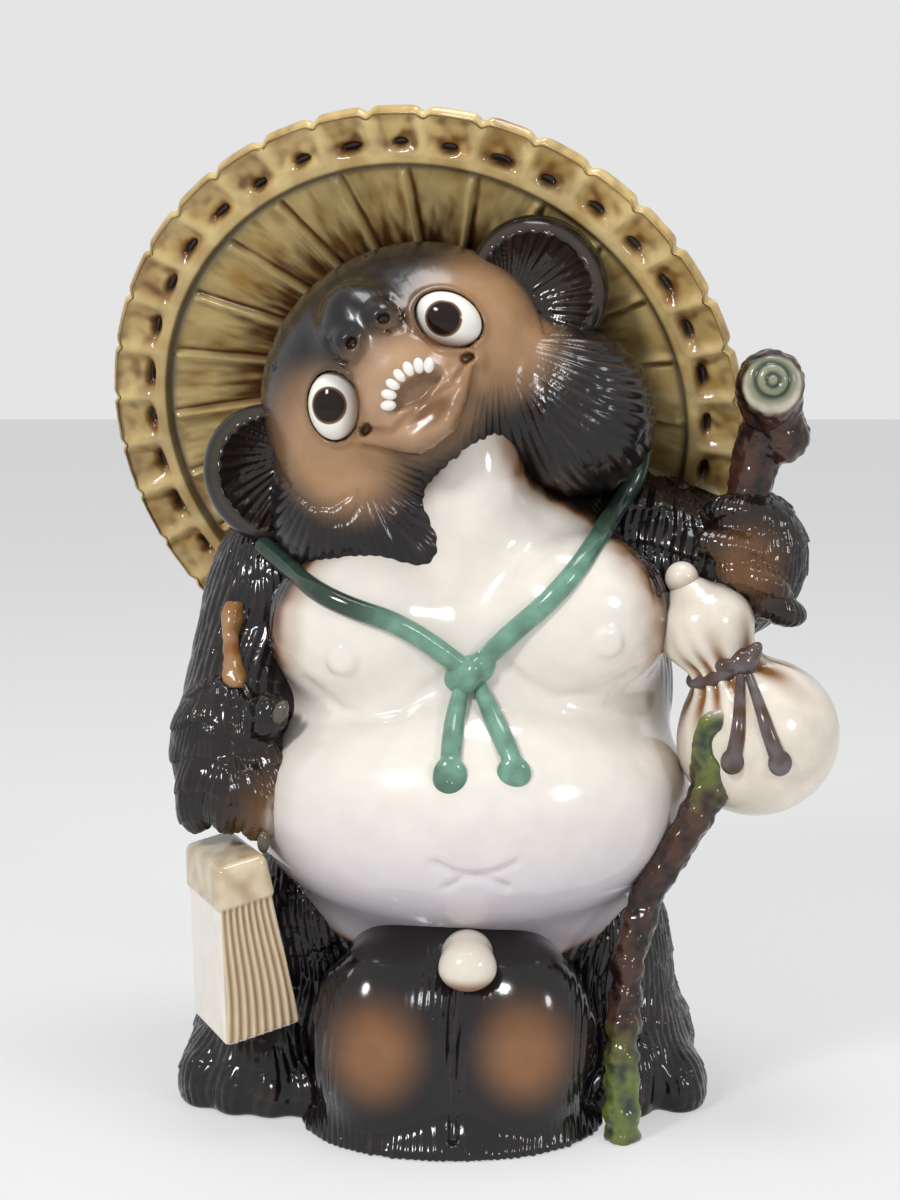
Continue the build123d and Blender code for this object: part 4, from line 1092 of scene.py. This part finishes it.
class STATUE_OT_sack(bpy.types.Operator):
    """Models the money sack with its two sprayed spots, and the stub above it"""

    bl_idname = "statue.sack"
    bl_label = "Sack and stub"

    def execute(self, context):
        piece = model("glazed_sack", SACK_LUMPS, clay().limb_grain, floor=True)
        places, out = points(piece), normals(piece)
        across, _, height = places.T
        facing = out[:, 1] < 0
        pair = [patch(places, place, SACK_SPOT_RADII, SACK_SPOT_EDGE) for place in SACK_SPOTS]
        spots = np.maximum(*pair) * facing
        locks = comb(across, height, clay().lock_width, 1.5 * clay().lock_length, 41)
        rough = np.clip(soft_step(np.abs(across + 6), 34, 46) + line(places, SACK_CLEFT, 9), 0, 1)
        rough = np.maximum(rough, soft_step(height, 14, 4))
        lift = rough * (locks - 0.5) * clay().lock_depth
        lift -= CLEFT_DEPTH * line(places, SACK_CLEFT, CLEFT_WIDTH) * facing
        for route in SACK_SEAMS:
            lift += SEAM_RISE * line(places, route, SEAM_WIDTH) * (out[:, 1] < 0.2)
        raise_skin(piece, lift)
        dark = fur_colours(locks * rough)
        paint(piece, mix(dark, tint("russet"), 0.95 * spots))
        hand_in(piece, glaze("sack_glaze", mottle=0.1), "sack_glaze", "money_sack")
        stub = model("glazed_stub", STUB_LUMPS, clay().small_grain)
        low = soft_step(points(stub)[:, 2], 64, 59)
        paint(stub, mix(tint("shell"), tint("amber"), 0.8 * low))
        hand_in(stub, glaze("book_glaze", mottle=0.06), "book_glaze", "stub")
        return {"FINISHED"}


STAFF_ROUTE = [
    (53, -68, 0),
    (53, -67, 30),
    (55, -60, 60),
    (62, -54, 84),
    (74, -54, 104),
    (83, -54, 120),
    (87, -50, 138),
    (89, -38, 164),
    (93, -28, 188),
    (97, -25, 212),
    (102, -23, 236),
    (107, -24, 250),
    (104, -38, 262),
]
STAFF_RADII = [6.5, 6.5, 6, 6, 6, 7, 9, 6.5, 6.5, 7, 8.5, 10, 12]
STAFF_KNOT = (86, -57, 139)
STAFF_END = (103.5, -41, 264)
STAFF_SWELLINGS = [Lump(STAFF_KNOT, (9, 5, 12), soft=4), Lump((111, -27, 243), (9, 9, 9), soft=4)]
STAFF_HOLE = Lump((86, -64, 139), (3.5, 5, 5), soft=2.5)
STAFF_END_RINGS = [(6.3, 0.9), (2.4, 0.7)]


class STATUE_OT_staff(bpy.types.Operator):
    """Models the gnarled staff with its knot hole and sawn end"""

    bl_idname = "statue.staff"
    bl_label = "Staff"

    def execute(self, context):
        lumps = chain(STAFF_ROUTE, STAFF_RADII, soft=4.0) + STAFF_SWELLINGS
        piece = model("glazed_staff", lumps, clay().small_grain, [STAFF_HOLE], floor=True)
        places = points(piece)
        height = places[:, 2]
        gnarl = ripple(places * np.array((1, 1, 0.45)), 5.0, 6) + 0.6 * ripple(places, 2.6, 7)
        away = np.linalg.norm(places - np.array(STAFF_END), axis=1)
        end = soft_step(places[:, 1], -43, -46) * soft_step(away, 16, 12)
        apart = np.hypot(places[:, 0] - STAFF_END[0], places[:, 2] - STAFF_END[2])
        rings = sum(hump(apart - radius, width) for radius, width in STAFF_END_RINGS)
        lift = 0.9 * gnarl * (1 - end) - 1.1 * rings * end
        raise_skin(piece, lift)
        green = 1.3 * spot(places, STAFF_KNOT, 14) + 1.2 * end + soft_step(height, 46, 20)
        green = np.clip(green, 0, 1)
        colours = mix(tint("bark"), tint("black"), np.clip(0.4 - gnarl, 0, 1))
        mossy = mix(tint("olive"), tint("moss"), np.clip(0.3 - gnarl * (1 - end) + rings * end, 0, 1))
        tone_share = 0.55 * end * soft_step(apart, 7.5, 10) + 0.25 * end * (1 - np.clip(rings, 0, 1))
        mossy = mix(mossy, tint("shell"), tone_share)
        colours = mix(colours, mossy, np.clip(green + 0.3 * gnarl * (green > 0.05), 0, 1))
        pale = soft_step(height, 147, 153) * soft_step(height, 186, 178)
        paint(piece, mix(colours, tint("shell"), 0.9 * pale))
        hand_in(piece, glaze("staff_glaze", mottle=0.25), "staff_glaze", "staff")
        return {"FINISHED"}


GOURD_LUMPS = [
    Lump((0, 0, 0), (29, 29, 27.5)),
    Lump((0, 0, 44), (17.5, 17, 15), soft=9),
    Lump((0, 0, 26), (10, 10, 14), soft=9),
    Lump((0, 0, 57), (7, 7, 6), soft=4),
]
GOURD_WAIST = 28.0
GOURD_WAIST_SPREAD = 11
GOURD_FOLDS = 11
GOURD_FOLD_DEPTH = 0.9
GOURD_NECK = 12.0
GOURD_CORD_RADIUS = 2.6
GOURD_STOPPER = Lump((0, 0, 63), (6, 6, 6))
GOURD_KNOT_TURN = -62.0
GOURD_TAIL_RUN = [(1.5, -3), (3.5, -13), (5.5, -23), (8, -31)]
GOURD_TAIL_RADII = [1.6, 2.2, 2.8, 3.0]
GOURD_TAIL_GRAIN = 0.4
GOURD_DROP_RADII = (4.2, 2.6, 4.6)


class STATUE_OT_gourd(bpy.types.Operator):
    """Models the bottle gourd with its stopper and the cord tied round its waist"""

    bl_idname = "statue.gourd"
    bl_label = "Gourd"

    def execute(self, context):
        piece = model("glazed_gourd", GOURD_LUMPS, clay().limb_grain)
        places = points(piece)
        turn = np.arctan2(places[:, 1], places[:, 0])
        waist = hump(places[:, 2] - GOURD_WAIST, GOURD_WAIST_SPREAD)
        folds = np.cos(turn * GOURD_FOLDS + 2 * np.sin(turn * 3))
        raise_skin(piece, GOURD_FOLD_DEPTH * waist * folds)
        # Glaze pooled in the folds of the waist, darkened further as painted shade in the folds
        pooled = np.clip(0.9 * waist * (0.6 - folds) + 0.25 * ripple(places, 12, 9), 0, 1)
        paint(piece, mix(tint("shell"), tint("amber"), pooled))
        set_in(piece, GOURD)
        hand_in(piece, glaze("gourd_glaze", mottle=0.1), "gourd_glaze", "gourd")
        stopper = join("glazed_stopper", [ball(GOURD_STOPPER, 32, 20)])
        modify(stopper, "SUBSURF", levels=1, render_levels=1)
        paint(stopper, mix(tint("shell"), tint("amber"), 0.5 * soft_step(points(stopper)[:, 2], 66, 60)))
        set_in(stopper, GOURD)
        hand_in(stopper, glaze("gourd_glaze"), "gourd_glaze", "gourd_stopper")
        self.tie(piece)
        return {"FINISHED"}

    def tie(self, gourd):
        """The cord round the waist, its knot and its tails."""
        angle = radians(GOURD_KNOT_TURN)
        bpy.ops.object.select_all(action="DESELECT")
        bpy.ops.mesh.primitive_torus_add(
            location=(0, 0, GOURD_WAIST * MM),
            major_radius=GOURD_NECK * MM,
            minor_radius=GOURD_CORD_RADIUS * MM,
            major_segments=72,
            minor_segments=16,
        )
        ring = settle_place(bpy.context.object)
        middle = Vector((GOURD_NECK * cos(angle), GOURD_NECK * sin(angle), GOURD_WAIST))
        knot = ball(Lump(tuple(middle * 1.02), (5.5, 5.0, 5.5)))
        loops = [
            ball(Lump((middle.x - 5, middle.y - 2, middle.z + 2.5), (4.5, 3, 2.6), (0, 25, 0))),
            ball(Lump((middle.x + 5, middle.y - 1, middle.z + 2.5), (4.5, 3, 2.6), (0, -25, 0))),
        ]
        piece = remesh(join("glazed_gourd_cord", [ring, knot, *loops]), clay().small_grain)
        smooth(piece, 3)
        paint(piece, mix(tint("slate"), tint("brown"), np.clip(0.5 + ripple(points(piece), 5, 3), 0, 1)))
        set_in(piece, GOURD)
        hand_in(piece, glaze("gourd_cord_glaze"), "gourd_cord_glaze", "gourd_cord")
        start = GOURD @ middle
        for name, side in (("left", 1), ("right", -1)):
            route = [(start.x + side * x - 0.1 * z, start.z + z) for x, z in GOURD_TAIL_RUN]
            seats = seated([gourd], route, 0.8)
            drop = ball(Lump(seats[-1], GOURD_DROP_RADII))
            strand = tube(f"{name}_gourd_strand", seats, GOURD_TAIL_RADII)
            tail = remesh(join(f"glazed_{name}_gourd_tail", [strand, drop]), GOURD_TAIL_GRAIN)
            smooth(tail, 3)
            places = points(tail)
            pit = spot(places, (seats[-1][0], seats[-1][1] - 2.6, seats[-1][2]), 1.8)
            raise_skin(tail, -1.4 * pit)
            paint(tail, mix(tint("slate"), tint("brown"), np.clip(0.4 + ripple(points(tail), 5, 6), 0, 1)))
            hand_in(tail, glaze("gourd_cord_glaze"), "gourd_cord_glaze", f"{name}_gourd_tail")


BOOK_SIZE = (21, 40, 62)
BOOK_BAND = 13.0
PAGE_PITCH = 2.4
PAGE_DEPTH = 0.6
BAND_RISE = 1.2
BOOK_EDGE = 2
BOOK_FAN = 0.55


class STATUE_OT_book(bpy.types.Operator):
    """Models the account book with its fanned pages and its bound top"""

    bl_idname = "statue.book"
    bl_label = "Account book"

    def execute(self, context):
        bpy.ops.object.select_all(action="DESELECT")
        bpy.ops.mesh.primitive_cube_add(size=MM, scale=BOOK_SIZE)
        piece = join("glazed_book", [settle_place(bpy.context.object)])
        modify(piece, "BEVEL", width=BOOK_EDGE * MM, segments=3)
        remesh(piece, clay().small_grain)
        smooth(piece, 2)
        places, out = points(piece), normals(piece)
        page = soft_step(-out[:, 1], 0.5, 0.8)
        band = BOOK_SIZE[2] / 2 - BOOK_BAND
        low = soft_step(places[:, 2], band, band - 2)
        leaves = np.cos(2 * pi * (places[:, 0] + 0.5 * np.sin(places[:, 2] / 9)) / PAGE_PITCH)
        lift = PAGE_DEPTH * leaves * page * low + BAND_RISE * (1 - low)
        moved = places + out * lift[:, None]
        fan = 0.5 - places[:, 2] / BOOK_SIZE[2]
        moved[:, 0] = BOOK_SIZE[0] / 2 + (moved[:, 0] - BOOK_SIZE[0] / 2) * (0.8 + BOOK_FAN * fan)
        set_points(piece, moved)
        edge = mix(tint("paper"), tint("amber"), np.clip(0.3 - 0.5 * leaves, 0, 1))
        bound = mix(tint("paper"), tint("amber"), np.clip(0.15 + 0.5 * ripple(places, 6, 2), 0, 1))
        colours = mix(np.tile(tint("cream"), (len(places), 1)), edge, page)
        paint(piece, mix(bound, colours, low))
        set_in(piece, BOOK)
        hand_in(piece, glaze("book_glaze"), "book_glaze", "account_book")
        return {"FINISHED"}


LEFT_STRAND_TOP = [(64, 0, 248), (63, -12, 232)]
LEFT_STRAND = [(52, 216), (42, 206), (33, 196), (24, 187), (15, 179), (3, 167)]
RIGHT_STRAND = [(-74, 204), (-63, 197), (-53, 192), (-40, 187), (-27, 183), (-14, 175), (-3, 166)]
KNOT = (0, 164.5)
LEFT_TAIL = [(3, 160), (7, 151), (12, 142), (14.5, 136)]
RIGHT_TAIL = [(-3, 160), (-5, 151), (-6.5, 142), (-7, 135)]
TAIL_RADII = [2.6, 3.6, 3.8, 3.4]
TAIL_END_HEIGHTS = {"left_cord_tail": 6, "right_cord_tail": 7.5}
CORD_PROUD = 1.5
TAIL_PROUD = 1.2
GREEN_LEFT, GREEN_RIGHT, GREEN_FADE = 50, 26, 24


class STATUE_OT_cords(bpy.types.Operator):
    """Models the hat's cord with its knot and two tails"""

    bl_idname = "statue.cords"
    bl_label = "Hat cord"

    def execute(self, context):
        body = bpy.data.objects["glazed_body"]
        arms = [bpy.data.objects["glazed_left_arm"], bpy.data.objects["glazed_right_arm"]]
        left = LEFT_STRAND_TOP + seated([body, *arms], LEFT_STRAND, CORD_PROUD)
        right = seated([body, *arms], RIGHT_STRAND, CORD_PROUD)
        for name, route in (("left_cord", left), ("right_cord", right)):
            strand = tube(f"glazed_{name}", route, [clay().cord_radius] * len(route), clay().small_grain)
            self.colour(strand, name)
        spot_y = front([body], *KNOT)
        knot = model(
            "glazed_cord_knot",
            [
                Lump((0, spot_y - 1, KNOT[1]), (8.5, 5.5, 5.5), (0, -12, 0)),
                Lump((0, spot_y - 3, KNOT[1] - 1), (4.2, 5.5, 7), (0, 20, 0), soft=1.5),
                Lump((5, spot_y - 1, KNOT[1] + 4), (4, 4.5, 4), soft=1.5),
                Lump((-5, spot_y - 1, KNOT[1] - 3), (4, 4.5, 4), soft=1.5),
            ],
            clay().small_grain,
        )
        self.colour(knot, "cord_knot")
        for name, run in (("left_cord_tail", LEFT_TAIL), ("right_cord_tail", RIGHT_TAIL)):
            route = seated([body], run, TAIL_PROUD)
            tail = tube(f"{name}_run", route, TAIL_RADII, clay().small_grain)
            tip = route[-1]
            end = ball(Lump((tip[0], tip[1], tip[2] - 3), (6, 4, TAIL_END_HEIGHTS[name])))
            piece = remesh(join(f"glazed_{name}", [tail, end]), clay().small_grain)
            smooth(piece, 4)
            pit = spot(points(piece), (tip[0], tip[1] - 4, tip[2] - 3), 2.6)
            raise_skin(piece, -2.0 * pit)
            self.colour(piece, name)
        return {"FINISHED"}

    def colour(self, piece, node):
        """Celadon that thins on the high places and goes dark towards the shoulders."""
        places = points(piece)
        start = np.where(places[:, 0] < 0, GREEN_RIGHT, GREEN_LEFT)
        away = np.hypot(places[:, 0] - KNOT[0], places[:, 2] - KNOT[1])
        dark = soft_step(away, start, start + GREEN_FADE)
        pooled = np.clip(0.35 + 0.8 * ripple(places, 5, 3), 0, 1)
        colours = mix(tint("celadon"), tint("moss"), 0.45 * pooled)
        paint(piece, mix(colours, tint("moss") * 0.4, 0.92 * dark))
        hand_in(piece, glaze("cord_glaze", mottle=0.2, mottle_size=5.0), "cord_glaze", node)


# Studio, in metres
FLOOR_SIZE = 8
PAPER_WHITE = (0.90, 0.90, 0.89, 1)
PAPER_ROUGHNESS = 0.7
PAPER_GLOW = (0.80, 0.80, 0.80, 1)
GLOW_SHARE = 0.6
SKY_COLOUR = (0.85, 0.87, 0.9, 1)
SKY_STRENGTH = 0.45
BACKDROP = (0.78, 0.78, 0.78, 1)
LAMPS = {
    "key": ((-0.8, -1.1, 1.2), 0.36, 15),
    "fill": ((1.1, -1.1, 0.8), 0.32, 5.5),
    "top": ((0.1, 0.0, 1.5), 0.6, 8),
}
LAMP_AIM = Vector((0, 0, 0.18))


class STATUE_OT_stage(bpy.types.Operator):
    """Sets the floor, the studio lights and the camera of the photograph"""

    bl_idname = "statue.stage"
    bl_label = "Stage"

    def execute(self, context):
        bpy.ops.object.select_all(action="DESELECT")
        bpy.ops.mesh.primitive_plane_add(size=FLOOR_SIZE)
        floor = bpy.context.object
        floor.name = "studio_floor"
        floor.data.materials.append(self.paper())
        for name, (place, size, power) in LAMPS.items():
            self.light(name, place, size, power)
        context.scene.world = self.sky()
        bpy.ops.object.camera_add(location=CAMERA_PLACE, rotation=(radians(90 - CAMERA_PITCH), 0, 0))
        camera = bpy.context.object
        camera.data.lens = CAMERA_LENS
        context.scene.camera = camera
        context.scene.view_settings.view_transform = "Standard"
        return {"FINISHED"}

    def paper(self):
        """White paper that glows a little to a look, so that it runs into the backdrop."""
        paper = bpy.data.materials.new("studio_paper")
        paper.use_nodes = True
        nodes, links = paper.node_tree.nodes, paper.node_tree.links
        shader = nodes["Principled BSDF"]
        shader.inputs["Base Color"].default_value = PAPER_WHITE
        shader.inputs["Roughness"].default_value = PAPER_ROUGHNESS
        glow = nodes.new("ShaderNodeEmission")
        glow.inputs["Color"].default_value = PAPER_GLOW
        share = nodes.new("ShaderNodeMath")
        share.operation = "MULTIPLY"
        share.inputs[1].default_value = GLOW_SHARE
        blend = nodes.new("ShaderNodeMixShader")
        links.new(self.looked_at(paper.node_tree), share.inputs[0])
        links.new(share.outputs["Value"], blend.inputs["Fac"])
        links.new(shader.outputs["BSDF"], blend.inputs[1])
        links.new(glow.outputs["Emission"], blend.inputs[2])
        links.new(blend.outputs["Shader"], nodes["Material Output"].inputs["Surface"])
        return paper

    def sky(self):
        """Soft light from all round, and a plain backdrop for a look."""
        world = bpy.data.worlds.new("studio")
        world.use_nodes = True
        nodes, links = world.node_tree.nodes, world.node_tree.links
        nodes["Background"].inputs["Color"].default_value = SKY_COLOUR
        nodes["Background"].inputs["Strength"].default_value = SKY_STRENGTH
        seen = nodes.new("ShaderNodeBackground")
        seen.inputs["Color"].default_value = BACKDROP
        chooser = nodes.new("ShaderNodeMixShader")
        links.new(self.looked_at(world.node_tree), chooser.inputs["Fac"])
        links.new(nodes["Background"].outputs["Background"], chooser.inputs[1])
        links.new(seen.outputs["Background"], chooser.inputs[2])
        links.new(chooser.outputs["Shader"], nodes["World Output"].inputs["Surface"])
        return world

    def looked_at(self, tree):
        """1 for a look, straight or by way of a reflection or through glass, and 0 for light."""
        rays = tree.nodes.new("ShaderNodeLightPath")
        total = rays.outputs["Is Camera Ray"]
        for name in ("Is Glossy Ray", "Is Transmission Ray"):
            either = tree.nodes.new("ShaderNodeMath")
            either.operation = "MAXIMUM"
            tree.links.new(total, either.inputs[0])
            tree.links.new(rays.outputs[name], either.inputs[1])
            total = either.outputs["Value"]
        return total

    def light(self, name, place, size, power):
        """A round soft box that looks at the figure's chest."""
        bpy.ops.object.light_add(type="AREA", location=place)
        lamp = bpy.context.object
        lamp.name = name
        lamp.data.shape = "DISK"
        lamp.data.size = size
        lamp.data.energy = power
        aim = LAMP_AIM - Vector(place)
        lamp.rotation_euler = aim.to_track_quat("-Z", "Y").to_euler()


OPERATORS = (
    STATUE_OT_body,
    STATUE_OT_head,
    STATUE_OT_face,
    STATUE_OT_ears,
    STATUE_OT_hat,
    STATUE_OT_arms,
    STATUE_OT_feet,
    STATUE_OT_sack,
    STATUE_OT_staff,
    STATUE_OT_gourd,
    STATUE_OT_book,
    STATUE_OT_cords,
    STATUE_OT_stage,
)


class STATUE_PT_panel(bpy.types.Panel):
    """The statue's sizes, colours and pieces"""

    bl_idname = "STATUE_PT_panel"
    bl_label = "Tanuki statue"
    bl_space_type = "VIEW_3D"
    bl_region_type = "UI"
    bl_category = "Statue"

    def draw(self, context):
        for group in (context.scene.statue_clay, context.scene.statue_glaze):
            for key in group.bl_rna.properties.keys():
                if key not in ("rna_type", "name"):
                    self.layout.prop(group, key)
        for operator in OPERATORS:
            self.layout.operator(operator.bl_idname)


CLASSES = (StatueClay, StatueGlaze, *OPERATORS, STATUE_PT_panel)


def register():
    """Adds the settings, the operators and the panel."""
    for item in CLASSES:
        bpy.utils.register_class(item)
    bpy.types.Scene.statue_clay = PointerProperty(type=StatueClay)
    bpy.types.Scene.statue_glaze = PointerProperty(type=StatueGlaze)


def unregister():
    """Takes them away again."""
    del bpy.types.Scene.statue_glaze
    del bpy.types.Scene.statue_clay
    for item in reversed(CLASSES):
        bpy.utils.unregister_class(item)


def main():
    """Builds every piece."""
    register()
    bpy.ops.statue.body()
    bpy.ops.statue.head()
    bpy.ops.statue.face()
    bpy.ops.statue.ears()
    bpy.ops.statue.hat()
    bpy.ops.statue.arms()
    bpy.ops.statue.feet()
    bpy.ops.statue.sack()
    bpy.ops.statue.staff()
    bpy.ops.statue.gourd()
    bpy.ops.statue.book()
    bpy.ops.statue.cords()
    bpy.ops.statue.stage()


if __name__ == "__main__":
    main()
